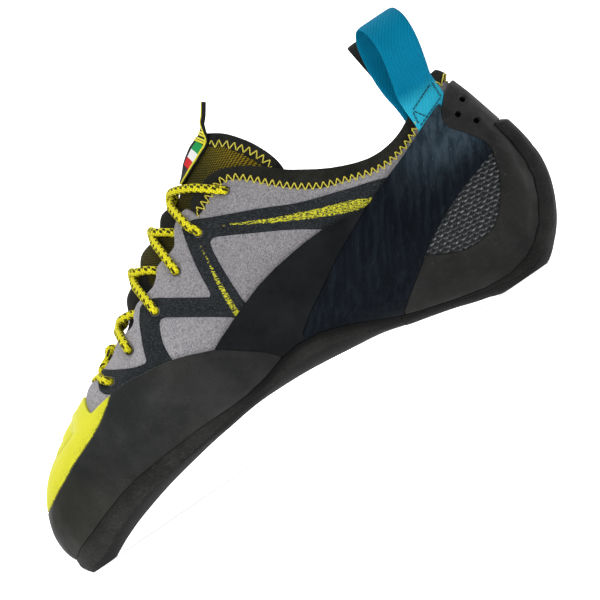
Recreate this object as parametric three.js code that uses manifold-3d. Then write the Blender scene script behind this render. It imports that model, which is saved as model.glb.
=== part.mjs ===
// A left climbing shoe with a lace-up throat and a down-turned last, about EU size 42.
// Millimetres, +Z up. +X runs from toe to heel, -Y is the lateral side, +Y the medial side.
// The shoe stands on two flat spots of its soles, one under the toe and one under the heel.
//
// The whole shoe is worked out from one closed form, the outside of the fabric upper:
// a row for each section, from the toe's front point to the heel's back point. Each rubber
// piece, the tongue, the insole and the soles are shells cut from that form, so they follow it.
import * as THREE from "three";
import { mergeVertices } from "three/addons/utils/BufferGeometryUtils.js";
import Module from "manifold-3d";

const wasm = await Module();
wasm.setup();

// ---------------------------------------------------------------- sizes
const ORIGIN_X = 129.1; // the row frame's origin, in the table's own x and y
const ORIGIN_Y = -1.05;
const WALL = 2.2; // fabric, lining and glue of the upper
const GAP = 0.3; // between two pieces that meet
const RUBBER = 1.5; // rand, bands, toe patch and heel cup
const TONGUE = 2.4;
const SOLE_UNDER = 4.5; // outsole, under the ball
const SOLE_TOE = 5.6; // behind the toe's tip, where it stands
const SOLE_TIP = 3.4; // and up the toe's front
const SOLE_ARCH = 3.3; // where it thins under the arch
const SOLE_SIDE = 2.5; // its edge, above the corner
const HEEL_FRONT = 2.6;
const HEEL_UNDER = 4.0;
const HEEL_SIDE = 2.3;
const HEEL_BACK = 4.4; // the strip up the back of the heel
const LACE_D = 3.1;
const WEB_W = 17.5; // pull loops
const WEB_T = 1.3;
const AROUND = 6; // mesh steps for each quarter of a section
const BEND = 0.9; // how far a cut may stray from its outline before the mesh is made finer
const SHORT = 4.5;

// ---------------------------------------------------------------- the last's sections
// bx bz  bottom point in side view     tx tz  top point in side view
// yl ym  widest lateral, medial point  yt yb  ridge and keel across the shoe
// hl hm  height of the widest points, as a share from bottom to top
// pb qb  how square the bottom is, across and up     nt  how round the top is
const SECTIONS = [
  { bx: 1.8, bz: 17.5, tx: 1.8, tz: 17.5, yl: 14, ym: 14, yt: 14, yb: 14, hl: 0.45, hm: 0.45, pb: 2.0, qb: 2.0, nt: 2.0 },
  { bx: 3.2, bz: 10.6, tx: 2.9, tz: 25.0, yl: 5, ym: 22.5, yt: 14, yb: 13, hl: 0.45, hm: 0.45, pb: 2.6, qb: 2.1, nt: 2.0 },
  { bx: 7.0, bz: 5.7, tx: 6.8, tz: 34.0, yl: -3, ym: 29.5, yt: 14, yb: 12, hl: 0.42, hm: 0.42, pb: 3.4, qb: 2.2, nt: 2.0 },
  { bx: 12.2, bz: 4.7, tx: 13.0, tz: 41.8, yl: -11, ym: 34, yt: 13.2, yb: 10, hl: 0.38, hm: 0.4, pb: 4.2, qb: 2.3, nt: 2.0 },
  { bx: 22.0, bz: 9.2, tx: 21.0, tz: 48.0, yl: -19, ym: 37.2, yt: 12, yb: 8, hl: 0.34, hm: 0.38, pb: 4.8, qb: 2.3, nt: 2.0 },
  { bx: 34.0, bz: 13.2, tx: 32.0, tz: 55.2, yl: -28, ym: 39.6, yt: 10.3, yb: 6, hl: 0.31, hm: 0.36, pb: 5.0, qb: 2.4, nt: 2.0 },
  { bx: 48.0, bz: 16.9, tx: 44.5, tz: 61.6, yl: -36, ym: 41, yt: 8.4, yb: 4, hl: 0.29, hm: 0.34, pb: 5.0, qb: 2.4, nt: 2.0 },
  { bx: 63.0, bz: 19.8, tx: 57.5, tz: 67.5, yl: -41.3, ym: 41, yt: 6.6, yb: 2, hl: 0.28, hm: 0.33, pb: 5.0, qb: 2.4, nt: 1.9 },
  { bx: 79.0, bz: 22.2, tx: 71.5, tz: 77.5, yl: -43.4, ym: 38.3, yt: 5, yb: 0, hl: 0.28, hm: 0.33, pb: 4.6, qb: 2.3, nt: 1.8 },
  { bx: 96.0, bz: 23.4, tx: 86.5, tz: 93.2, yl: -42.3, ym: 34.2, yt: 3.6, yb: -1, hl: 0.28, hm: 0.34, pb: 4.0, qb: 2.2, nt: 1.75 },
  { bx: 113.0, bz: 23.2, tx: 103.0, tz: 103.6, yl: -39.2, ym: 30.8, yt: 2.2, yb: -1, hl: 0.29, hm: 0.35, pb: 3.4, qb: 2.1, nt: 1.75 },
  { bx: 130.0, bz: 22.4, tx: 122.0, tz: 112.8, yl: -35.8, ym: 29, yt: 1.2, yb: -1, hl: 0.3, hm: 0.36, pb: 3.0, qb: 2.0, nt: 1.8 },
  { bx: 147.0, bz: 20.4, tx: 143.0, tz: 125.2, yl: -33.2, ym: 28.6, yt: 0.5, yb: -0.5, hl: 0.31, hm: 0.36, pb: 3.0, qb: 2.0, nt: 1.9 },
  { bx: 163.0, bz: 18.0, tx: 166.0, tz: 134.5, yl: -31.8, ym: 29, yt: 0, yb: 0, hl: 0.31, hm: 0.35, pb: 3.4, qb: 2.0, nt: 2.0 },
  { bx: 178.0, bz: 13.7, tx: 190.0, tz: 131.0, yl: -31.4, ym: 29.6, yt: 0, yb: 0, hl: 0.3, hm: 0.33, pb: 4.0, qb: 2.0, nt: 2.1 },
  { bx: 193.0, bz: 9.7, tx: 212.0, tz: 120.5, yl: -31.2, ym: 30, yt: 0, yb: 0, hl: 0.3, hm: 0.32, pb: 4.6, qb: 2.0, nt: 2.2 },
  { bx: 207.0, bz: 6.1, tx: 229.0, tz: 107.5, yl: -30.5, ym: 29.6, yt: 0, yb: 0, hl: 0.31, hm: 0.32, pb: 5.0, qb: 2.0, nt: 2.2 },
  { bx: 220.0, bz: 3.6, tx: 240.0, tz: 93.0, yl: -28.6, ym: 28, yt: 0, yb: 0, hl: 0.33, hm: 0.33, pb: 4.6, qb: 2.0, nt: 2.1 },
  { bx: 231.5, bz: 4.0, tx: 245.4, tz: 80.0, yl: -25.3, ym: 25, yt: 0, yb: 0, hl: 0.36, hm: 0.36, pb: 3.6, qb: 2.0, nt: 2.0 },
  { bx: 239.6, bz: 10.8, tx: 248.5, tz: 69.0, yl: -20.5, ym: 20.5, yt: 0, yb: 0, hl: 0.4, hm: 0.4, pb: 2.8, qb: 2.0, nt: 2.0 },
  { bx: 246.2, bz: 20.0, tx: 251.0, tz: 59.0, yl: -14.2, ym: 14.2, yt: 0, yb: 0, hl: 0.44, hm: 0.44, pb: 2.3, qb: 2.0, nt: 2.0 },
  { bx: 251.3, bz: 31.0, tx: 252.9, tz: 50.3, yl: -7.2, ym: 7.2, yt: 0, yb: 0, hl: 0.48, hm: 0.48, pb: 2.0, qb: 2.0, nt: 2.0 },
  { bx: 253.5, bz: 41.5, tx: 253.5, tz: 41.5, yl: 0, ym: 0, yt: 0, yb: 0, hl: 0.5, hm: 0.5, pb: 2.0, qb: 2.0, nt: 2.0 },
];
// where the mesh's sections lie, counted in rows of the table
const STATIONS = [
  0, 0.3, 0.65, 1, 1.5, 2, 2.5, 3, 3.4, 4, 4.8, 5.6, 6.4, 7.2, 8, 8.8, 9.7, 10.6, 11.5, 12.4, 13.3, 14.2, 15, 15.7, 16.4, 17,
  17.6, 18.2, 18.8, 19.4, 20, 20.6, 21.2, 21.65, 22,
];

// ---------------------------------------------------------------- lines in side view, x then z, toe to heel
// the edge of collar and throat: the upper ends here
const COLLAR = [
  [49, 64.2], [57, 66.3], [63, 69.8], [70, 73], [78, 76.5], [85, 81.5], [92, 84.5], [99, 89.5], [107, 92.5], [113, 98],
  [118, 102.5], [125, 104], [131, 106.5], [137, 109], [142, 108.5], [150, 104.5], [158, 99.5], [165, 94.5], [170, 91.2],
  [180, 84.7], [190, 79.9], [200, 77.5], [207, 77.5], [215, 79.6], [222, 83.2], [230, 88.3], [236, 91.3], [241, 92.3], [260, 93],
];
// the outsole's upper edge, round the toe and along the arch
const SEAM = [
  [-9, 7.4], [1, 7.8], [3.4, 8.9], [8.6, 11.9], [21.5, 16.7], [34, 21], [44.8, 23.5], [55.5, 24.6], [64.3, 25.5], [77.8, 26.5],
  [92.4, 26.4], [100.4, 26.8], [110, 28.2], [121, 31], [130, 32], [140, 31], [150, 27.8], [160, 23.6], [174, 17.6],
];
const SOLE_SPLIT = 172.5; // outsole ends and heel sole begins, at this x
// both soles as one closed outline: the seam, then the heel sole's edge under the heel and up its back
const SOLES = [
  ...SEAM.slice(0, -1), [172.5, 18.0], [180.6, 15.2], [194.5, 11.2], [208.2, 7.8], [219.2, 6.8], [228.0, 8.3], [233.3, 11.0],
  [240, 17.0], [245.3, 25.2], [248.6, 33.4], [249.8, 41.1], [249.4, 50.8], [247.6, 60.0], [262, 61.0], [270, 30], [250, -20],
  [-9, -20],
];
// the rand's upper edge; it ends where it dives under the arch pieces
const RAND_EDGE = [
  [-9, 27.5], [1, 28.6], [5, 30.6], [12, 34], [20, 38.3], [30, 42.3], [40, 46.5], [50, 53], [55, 56.3], [62, 57], [70, 56.5],
  [80, 55], [90, 52], [100, 48.5], [107, 44], [113, 39], [118, 34], [121, 31], [124, -20],
];
// the toe patch's upper edge, from the rand to the ridge
const TOE_EDGE = [
  [57, 54], [55, 56.3], [50, 55.6], [46, 54.9], [43, 55.4], [42.6, 57], [43.6, 59.5], [45, 62], [45.5, 80], [-20, 80], [-20, 10],
  [55, 10],
];
const ARCH_PIECE = [
  [100, 48.5], [110, 53], [120, 56.5], [130, 59.5], [140, 61.6], [150, 63.2], [160, 64], [170, 64], [180, 63], [186, 61.8],
  [192, 64], [196, 58], [166.5, 46], [141.8, 33], [133, 15], [121, 15], [110, 36], [98, 46],
];
const TENSION_BAND = [
  [131.5, 32.6], [141.8, 39.5], [150, 43.8], [166.5, 52.4], [186, 61.8], [189.5, 63.5], [200, 69], [210, 72], [221, 75.5],
  [233.6, 81.6], [234.8, 79.6], [232, 74], [231.6, 70.5], [234.5, 66], [238.5, 60], [240.6, 55], [241, 51], [230, 46.8], [220, 43.4],
  [210, 39], [200, 34.2], [195, 31.5], [187, 26], [178, 20.6], [173.4, 17.6], [171, 5], [131, 5],
];
const HEEL_CUP = [
  [173.4, 17.6], [178, 20.6], [187, 26], [195, 31.5], [199, 28], [205, 25], [212, 24], [220, 24.6], [228, 28], [234, 33], [238, 40],
  [240, 46], [241, 51], [240.6, 55], [238.5, 60], [234.5, 66], [231.6, 70.5], [232, 74], [234.8, 79.6], [234.5, 84], [242.5, 86.5],
  [262, 87], [270, 30], [250, -20], [171.8, -20],
];
// rough gripping patch on each side of the heel, in what band and cup leave between them
const HEEL_PATCH = [[190, 31.5], [200, 37.2], [220, 47], [241, 55], [245, 51], [240, 33], [220, 20], [199, 22]
];
const TONGUE_SHAPE = [
  [44, 52], [60, 57], [80, 64], [100, 74], [120, 83], [140, 89], [156, 91], [166.5, 93], [167, 100], [165.4, 107], [160.5, 115.5],
  [155, 121.5], [150, 125.5], [146, 128], [140, 145], [30, 145],
];
// lace, in side view: its eyelets, and for each crossing its place on the ridge and where it meets the other flap
const EYELETS = [[56.6, 61.8], [70.8, 68.3], [88.7, 75.2], [106.1, 83.6], [122.2, 91.7], [141.0, 100.0]];
const CROSSINGS = [
  { from_x: 57.6, from_z: 67.3, ridge_x: 60.4, to_x: 64.2, to_z: 71.6 },
  { from_x: 70.8, from_z: 70.2, ridge_x: 73.6, to_x: 80.4, to_z: 81.0 },
  { from_x: 88.5, from_z: 77.2, ridge_x: 86.9, to_x: 96.8, to_z: 91.0 },
  { from_x: 105.9, from_z: 85.6, ridge_x: 104.2, to_x: 111.6, to_z: 100.6 },
  { from_x: 122.0, from_z: 93.7, ridge_x: 119.8, to_x: 139.2, to_z: 101.6 },
];

// ---------------------------------------------------------------- the form
const KEYS = Object.keys(SECTIONS[0]);
const mirrorEnd = (r) => ({ ...r, bx: r.tx, bz: r.tz, tx: r.bx, tz: r.bz, yl: r.ym, ym: r.yl, yt: r.yb, yb: r.yt });
const EXTENDED = [mirrorEnd(SECTIONS[1]), ...SECTIONS, mirrorEnd(SECTIONS[SECTIONS.length - 2])];
const LAST = SECTIONS.length - 1;

function sectionRow(t) {
  const i = Math.min(Math.floor(t), LAST - 1);
  const f = t - i;
  const row = {};
  for (const k of KEYS) {
    const [a, b, c, d] = [0, 1, 2, 3].map((n) => EXTENDED[Math.min(i + n, LAST + 2)][k]);
    row[k] = 0.5 * (2 * b + (c - a) * f + (2 * a - 5 * b + 4 * c - d) * f * f + (3 * b - a - 3 * c + d) * f ** 3);
  }
  return row;
}

// one section's points: bottom, lateral, top, medial, evenly spaced in each quarter
function sectionPoints(row, steps) {
  const out = [];
  const quarters = [
    { low: true, w: row.yl, h: row.hl, turn: false },
    { low: false, w: row.yl, h: row.hl, turn: false },
    { low: false, w: row.ym, h: row.hm, turn: true },
    { low: true, w: row.ym, h: row.hm, turn: true },
  ];
  for (const { low, w, h, turn } of quarters) {
    const line = [];
    for (let k = 0; k <= 48; k++) {
      const a = (k / 48) * (Math.PI / 2);
      const s = Math.sin(a);
      const c = Math.max(Math.cos(a), 0);
      let y, up;
      if (low) {
        y = row.yb + (w - row.yb) * s ** (2 / row.pb);
        up = h * (1 - c ** (2 / row.qb));
      } else {
        y = row.yt + (w - row.yt) * c ** (2 / row.nt);
        up = h + (1 - h) * s ** (2 / row.nt);
      }
      line.push(new THREE.Vector3(row.bx + (row.tx - row.bx) * up, y, row.bz + (row.tz - row.bz) * up));
    }
    if (turn) line.reverse();
    const run = [0];
    for (let k = 1; k < line.length; k++) run.push(run[k - 1] + line[k].distanceTo(line[k - 1]));
    const total = run[run.length - 1];
    for (let n = 0; n < steps; n++) {
      const want = (n / steps) * total;
      let k = 1;
      while (k < run.length - 1 && run[k] < want) k++;
      const part = total < 1e-9 ? 0 : (want - run[k - 1]) / (run[k] - run[k - 1]);
      out.push(line[k - 1].clone().lerp(line[k], part));
    }
  }
  return out;
}

function buildForm(stations, steps) {
  const ring = steps * 4;
  const verts = [];
  const grid = stations.map((t, i) => {
    const points = sectionPoints(sectionRow(t), steps);
    if (i === 0 || i === stations.length - 1) {
      verts.push(points[0]);
      return new Array(ring).fill(verts.length - 1);
    }
    return points.map((p) => verts.push(p) - 1);
  });
  const tris = [];
  for (let i = 0; i + 1 < grid.length; i++)
    for (let j = 0; j < ring; j++) {
      const k = (j + 1) % ring;
      const [a, b, c, d] = [grid[i][j], grid[i + 1][j], grid[i + 1][k], grid[i][k]];
      // the shorter diagonal
      if (verts[a].distanceTo(verts[c]) <= verts[b].distanceTo(verts[d])) {
        if (a !== b && b !== c) tris.push([a, b, c]);
        if (a !== d && c !== d) tris.push([a, c, d]);
      } else {
        if (a !== b && a !== d) tris.push([a, b, d]);
        if (b !== c && c !== d) tris.push([b, c, d]);
      }
    }
  const normals = verts.map(() => new THREE.Vector3());
  const e = new THREE.Vector3();
  const f = new THREE.Vector3();
  for (const [a, b, c] of tris) {
    e.subVectors(verts[b], verts[a]);
    f.subVectors(verts[c], verts[a]);
    const n = new THREE.Vector3().crossVectors(e, f);
    for (const v of [a, b, c]) normals[v].add(n);
  }
  for (const n of normals) n.normalize();
  // how far each point is from the bottom's middle line, and the bottom's half girth, along the section
  return { verts: verts.map((p, i) => ({ p, n: normals[i] })), tris, grid };
}
const form = buildForm(STATIONS, AROUND);

// distance along the section from the keel, for the insole's opening
const girth = new Map();
for (const line of form.grid) {
  const ring = line.length;
  for (const dir of [1, -1]) {
    let run = 0;
    for (let j = 0; j <= ring / 2; j++) {
      const at = line[(dir * j + ring) % ring];
      if (j) run += form.verts[at].p.distanceTo(form.verts[line[(dir * (j - 1) + ring) % ring]].p);
      if (!girth.has(at) || girth.get(at) > run) girth.set(at, run);
    }
  }
}
form.verts.forEach((v, i) => (v.girth = girth.get(i)));

// ---------------------------------------------------------------- fields, in millimetres: a piece is kept where they are positive
function heightOf(line, x) {
  if (x <= line[0][0]) return line[0][1];
  for (let i = 1; i < line.length; i++)
    if (x <= line[i][0]) {
      const [x0, z0] = line[i - 1];
      const [x1, z1] = line[i];
      return z0 + ((z1 - z0) * (x - x0)) / (x1 - x0);
    }
  return line[line.length - 1][1];
}
// signed distance to a closed outline in side view, positive inside
function inside(outline, x, z) {
  let best = Infinity;
  let hit = false;
  for (let i = 0, j = outline.length - 1; i < outline.length; j = i++) {
    const [ax, az] = outline[j];
    const [bx, bz] = outline[i];
    const t = Math.max(0, Math.min(1, ((x - ax) * (bx - ax) + (z - az) * (bz - az)) / ((bx - ax) ** 2 + (bz - az) ** 2)));
    best = Math.min(best, Math.hypot(x - ax - t * (bx - ax), z - az - t * (bz - az)));
    if (az > z !== bz > z && x < ((bx - ax) * (z - az)) / (bz - az) + ax) hit = !hit;
  }
  return hit ? best : -best;
}
// signed distance below an open line in side view
function below(line, x, z) {
  let best = Infinity;
  for (let i = 1; i < line.length; i++) {
    const [ax, az] = line[i - 1];
    const [bx, bz] = line[i];
    const t = Math.max(0, Math.min(1, ((x - ax) * (bx - ax) + (z - az) * (bz - az)) / ((bx - ax) ** 2 + (bz - az) ** 2)));
    best = Math.min(best, Math.hypot(x - ax - t * (bx - ax), z - az - t * (bz - az)));
  }
  return z < heightOf(line, x) ? best : -best;
}
// half the insole's width along the bottom: it tapers to nothing inside toe and heel
const INSOLE_HALF = [
  [12, -6], [16, 4], [22, 12], [34, 21], [48, 27], [63, 30], [79, 29.5], [96, 26], [113, 22], [130, 18.5], [147, 17.5], [163, 18],
  [178, 19], [193, 20], [207, 19.5], [217, 16.5], [223, 11], [227, 4], [230, -6],
];
const half = GAP * 0.6; // each side of a seam
const open = (v) => below(COLLAR, v.p.x, v.p.z);
const board = (v) => (v.p.z < 45 ? heightOf(INSOLE_HALF, v.p.x) - v.girth : -20);
const soles = (v) => inside(SOLES, v.p.x, v.p.z);
const rand = (v) => below(RAND_EDGE, v.p.x, v.p.z);

// ---------------------------------------------------------------- cutting a shell from the form
const between = (u, w, t) => ({
  p: u.p.clone().lerp(w.p, t),
  n: u.n.clone().lerp(w.n, t), // not made unit length: the offset faces stay flat
  girth: u.girth + (w.girth - u.girth) * t,
});
// halves the edges near the field's zero line where the field bends, so that the cut follows its outline
function refine(mesh, field) {
  let { verts, tris } = mesh;
  verts = verts.slice();
  const value = verts.map(field);
  for (let pass = 0; pass < 3; pass++) {
    const halves = new Map();
    const middle = (a, b) => {
      const key = a < b ? a + "_" + b : b + "_" + a;
      if (!halves.has(key)) {
        const v = between(verts[Math.min(a, b)], verts[Math.max(a, b)], 0.5);
        const f = field(v);
        const long = verts[a].p.distanceTo(verts[b].p);
        const near = Math.min(Math.abs(value[a]), Math.abs(value[b]), Math.abs(f)) < long / 2;
        const bent = Math.abs(f - (value[a] + value[b]) / 2) > BEND;
        const crossed = Math.sign(value[a]) !== Math.sign(value[b]) || Math.sign(f) !== Math.sign(value[a]);
        const at = long > SHORT && near && bent && crossed ? verts.push(v) - 1 : -1;
        if (at >= 0) value.push(f);
        halves.set(key, at);
      }
      return halves.get(key);
    };
    const next = [];
    for (const [a, b, c] of tris) {
      const [ab, bc, ca] = [middle(a, b), middle(b, c), middle(c, a)];
      const split = (ab >= 0) + (bc >= 0) + (ca >= 0);
      if (!split) next.push([a, b, c]);
      else if (split === 3) next.push([a, ab, ca], [b, bc, ab], [c, ca, bc], [ab, bc, ca]);
      else {
        // turn the triangle so that its first edge is split, and in the case of two, its last one isn't
        let turned = [a, b, c, ab, bc, ca];
        const turn = ([p, q, r, pq, qr, rp]) => [q, r, p, qr, rp, pq];
        while (!(turned[3] >= 0 && turned[5] < 0)) turned = turn(turned);
        const [p, q, r, pq, qr] = turned;
        if (split === 1) next.push([p, pq, r], [pq, q, r]);
        else next.push([pq, q, qr], [p, pq, qr], [p, qr, r]);
      }
    }
    if (next.length === tris.length) break;
    tris = next;
  }
  return { verts, tris };
}
function clip(mesh, field) {
  const verts = mesh.verts.slice();
  const value = verts.map((v) => {
    const f = field(v);
    return f > 0 && f < 0.25 ? 0 : f;
  });
  const cuts = new Map();
  const cut = (a, b) => {
    const key = a < b ? a + "_" + b : b + "_" + a;
    if (!cuts.has(key)) {
      const t = value[a] / (value[a] - value[b]);
      verts.push(between(verts[a], verts[b], t));
      value.push(0);
      cuts.set(key, verts.length - 1);
    }
    return cuts.get(key);
  };
  const tris = [];
  for (const tri of mesh.tris) {
    const sign = tri.map((v) => Math.sign(value[v]));
    if (!sign.includes(1)) continue;
    if (!sign.includes(-1)) {
      tris.push(tri);
      continue;
    }
    const loop = [];
    for (let i = 0; i < 3; i++) {
      const [a, b] = [tri[i], tri[(i + 1) % 3]];
      if (value[a] >= 0) loop.push(a);
      if (value[a] * value[b] < 0) loop.push(cut(a, b));
    }
    for (let i = 1; i + 1 < loop.length; i++) tris.push([loop[0], loop[i], loop[i + 1]]);
  }
  return { verts, tris };
}

// both sides of a seam, with the gap between them
function split(mesh, field) {
  const fine = refine(mesh, field);
  return [clip(fine, (v) => field(v) - half), clip(fine, (v) => -field(v) - half)];
}
const cutOut = (mesh, field) => clip(refine(mesh, field), field);

// a closed shell between two offsets of the kept part
function shell(mesh, outer, inner, floor = false) {
  const used = new Map();
  const top = [];
  const low = [];
  const at = (v) => {
    if (!used.has(v)) {
      const { p, n } = mesh.verts[v];
      used.set(v, top.length);
      const o = typeof outer === "function" ? outer(mesh.verts[v]) : outer;
      const q = p.clone().addScaledVector(n, o);
      if (floor && q.z < 0) q.z = 0;
      top.push(q);
      low.push(p.clone().addScaledVector(n, typeof inner === "function" ? inner(mesh.verts[v]) : inner));
    }
    return used.get(v);
  };
  const edges = new Map();
  const faces = mesh.tris.map((tri) => tri.map(at));
  for (const [a, b, c] of faces) for (const [u, w] of [[a, b], [b, c], [c, a]]) edges.set(u + "_" + w, [u, w]);
  const total = top.length;
  const index = [];
  for (const [a, b, c] of faces) index.push(a, b, c, total + a, total + c, total + b);
  for (const [a, b] of edges.values())
    if (!edges.has(b + "_" + a)) index.push(b, a, total + a, b, total + a, total + b);
  const position = [...top, ...low].flatMap((q) => [q.x - ORIGIN_X, q.y - ORIGIN_Y, q.z]);
  return new THREE.BufferGeometry()
    .setAttribute("position", new THREE.BufferAttribute(new Float32Array(position), 3))
    .setIndex(index);
}

// a point of the form: t counts rows, q quarters from the keel (1 lateral, 2 ridge, 3 medial); moved out by d
function spot(t, q) {
  const points = sectionPoints(sectionRow(t), 12);
  const at = Math.min(Math.max(q * 12, 0), 47.999);
  const k = Math.floor(at);
  return points[k].clone().lerp(points[(k + 1) % 48], at - k);
}
function surface(t, q, d = 0) {
  const along = spot(t + 0.04, q).sub(spot(t - 0.04, q));
  const round = spot(t, q + 0.06).sub(spot(t, q - 0.06));
  return spot(t, q).addScaledVector(new THREE.Vector3().crossVectors(along, round).normalize(), d);
}
// t and q of a place in side view, on the lateral (-1) or medial (1) side, above the widest point
function locate(x, z, side) {
  let best = { miss: Infinity };
  for (let step = 0.25, t0 = LAST / 2, q0 = 2 + side * 0.5, rt = LAST / 2, rq = 0.5; step > 0.0005; step /= 4, rt = step * 8, rq = step * 4) {
    for (let t = Math.max(0.5, t0 - rt); t <= Math.min(LAST - 0.5, t0 + rt); t += step)
      for (let q = Math.max(side < 0 ? 1 : 2, q0 - rq); q <= Math.min(side < 0 ? 2 : 3, q0 + rq); q += step / 2) {
        const p = spot(t, q);
        const miss = Math.hypot(p.x - x, p.z - z);
        if (miss < best.miss) best = { miss, t, q };
      }
    t0 = best.t;
    q0 = best.q;
  }
  return best;
}
// t of a place on the ridge
function ridgeRow(x) {
  let lo = 0.5;
  let hi = LAST - 0.5;
  while (hi - lo > 0.001) sectionRow((lo + hi) / 2).tx < x ? (lo = (lo + hi) / 2) : (hi = (lo + hi) / 2);
  return lo;
}

// ---------------------------------------------------------------- solids and booleans
function solidOf(geometry) {
  const g = geometry.clone();
  g.deleteAttribute("normal");
  g.deleteAttribute("uv");
  const merged = mergeVertices(g, 1e-3);
  return new wasm.Manifold(
    new wasm.Mesh({
      numProp: 3,
      vertProperties: merged.attributes.position.array,
      triVerts: new Uint32Array(merged.index.array),
    }),
  );
}
function geometryOf(solid) {
  const m = solid.getMesh();
  return new THREE.BufferGeometry()
    .setAttribute("position", new THREE.BufferAttribute(new Float32Array(m.vertProperties), 3))
    .setIndex(new THREE.BufferAttribute(new Uint32Array(m.triVerts), 1));
}

const shoe = new THREE.Group();
shoe.name = "climbing_shoe";
const look = (color, roughness, metalness = 0) => new THREE.MeshStandardMaterial({ color, roughness, metalness });
const LOOK = {
  suede: look(0x8f8a90, 0.95),
  rubber: look(0x2b2c2a, 0.75),
  band: look(0x1d252e, 0.6),
  grip: look(0x55565a, 0.9),
  yellow: look(0xdfe23a, 0.7),
  mesh: look(0x2b2a1c, 0.9),
  board: look(0x3a3a38, 0.9),
  lace: look(0xe9dc28, 0.8),
  blue: look(0x1787ad, 0.8),
  black: look(0x222222, 0.85),
};
function add(name, geometry, material) {
  const mesh = new THREE.Mesh(geometry, material);
  mesh.name = name;
  shoe.add(mesh);
  return mesh;
}

// how far a sole's outside stands off the form: flat underneath, with a nearly square corner
function soleOffset(v, under, edge, round) {
  const n = v.n.clone().normalize();
  const down = Math.max(0, -n.z);
  const out = Math.sqrt(Math.max(0, 1 - down * down));
  return under * down + edge * out + round * (down + out - 1);
}
const ramp = (x, x0, x1, a, b) => a + (b - a) * THREE.MathUtils.smoothstep(x, x0, x1);
const outsoleOuter = (v) => {
  const x = v.p.x;
  const toe = ramp(x, 4, 9.5, SOLE_TIP, SOLE_TOE);
  const thick = x < 60 ? Math.min(toe, ramp(x, 14, 36, SOLE_TOE, SOLE_UNDER)) : ramp(x, 84, 112, SOLE_UNDER, SOLE_ARCH);
  const edge = x < 60 ? ramp(x, 8, 36, 1.9, SOLE_SIDE) : ramp(x, 90, 125, SOLE_SIDE, 2.0);
  return soleOffset(v, thick, edge, x < 60 ? ramp(x, 6, 40, 0.2, 2.6) : ramp(x, 90, 125, 2.6, 1.0));
};
const heelOuter = (v) => {
  const x = v.p.x;
  const thick = x < 220 ? ramp(x, 185, 214, HEEL_FRONT, HEEL_UNDER) : ramp(x, 234, 250, HEEL_UNDER, HEEL_BACK);
  return soleOffset(v, thick, ramp(x, 226, 246, HEEL_SIDE, HEEL_BACK), ramp(x, 226, 242, 1.4, 0));
};

const shaped = (outline) => (v) => inside(outline, v.p.x, v.p.z);
const skin = GAP + RUBBER;

// upper: hollow, open at collar and throat, and underneath where the insole board closes it
const [boardMesh, aroundBoard] = split(form, board);
add("upper", shell(cutOut(aroundBoard, open), 0, -WALL), LOOK.suede);
add("insole", shell(boardMesh, 0, -WALL), LOOK.board);

// soles
const [under, overSoles] = split(form, soles);
const [front, back] = split(under, (v) => SOLE_SPLIT - v.p.x);
add("outsole", shell(front, outsoleOuter, GAP, true), LOOK.rubber);
add("heel_sole", shell(back, heelOuter, GAP, true), LOOK.rubber);

// rubber pieces on the upper's outside, each cut from what the one before it leaves
const [cup, besideCup] = split(overSoles, shaped(HEEL_CUP));
const [band, besideBand] = split(besideCup, shaped(TENSION_BAND));
const [rim, besideRim] = split(besideBand, rand);
add("heel_cup", shell(cup, skin, GAP), LOOK.rubber);
add("rand", shell(rim, skin, GAP), LOOK.rubber);
add("toe_patch", shell(cutOut(besideRim, shaped(TOE_EDGE)), skin, GAP), LOOK.yellow);
for (const [side, word] of [[-1, "lateral"], [1, "medial"]]) {
  const oneSide = (mesh) => clip(mesh, (v) => side * v.p.y - 1);
  add("arch_rubber_" + word, shell(oneSide(cutOut(besideRim, shaped(ARCH_PIECE))), skin, GAP), LOOK.rubber);
  add("tension_band_" + word, shell(oneSide(band), skin, GAP), LOOK.band);
  add("heel_patch_" + word, shell(oneSide(cutOut(besideRim, shaped(HEEL_PATCH))), skin - 0.3, GAP), LOOK.grip);
}

// tongue: inside the upper, under the throat
add("tongue", shell(cutOut(form, shaped(TONGUE_SHAPE)), -WALL - GAP, -WALL - GAP - TONGUE), LOOK.mesh);

// laces: a bar at the bottom and five crossings, clear of flaps, tongue and eyelets
function cord(points) {
  const shape = new THREE.Shape();
  const sides = 6;
  for (let i = 0; i < sides; i++) {
    const a = ((i + 0.5) / sides) * Math.PI * 2;
    const q = [(Math.cos(a) * LACE_D) / 2, (Math.sin(a) * LACE_D) / 2];
    i ? shape.lineTo(...q) : shape.moveTo(...q);
  }
  const path = new THREE.CatmullRomCurve3(points.map((p) => new THREE.Vector3(p.x - ORIGIN_X, p.y - ORIGIN_Y, p.z)));
  return new THREE.ExtrudeGeometry(shape, { steps: points.length, bevelEnabled: false, extrudePath: path });
}
const clear = GAP + LACE_D / 2 + 0.4;
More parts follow.
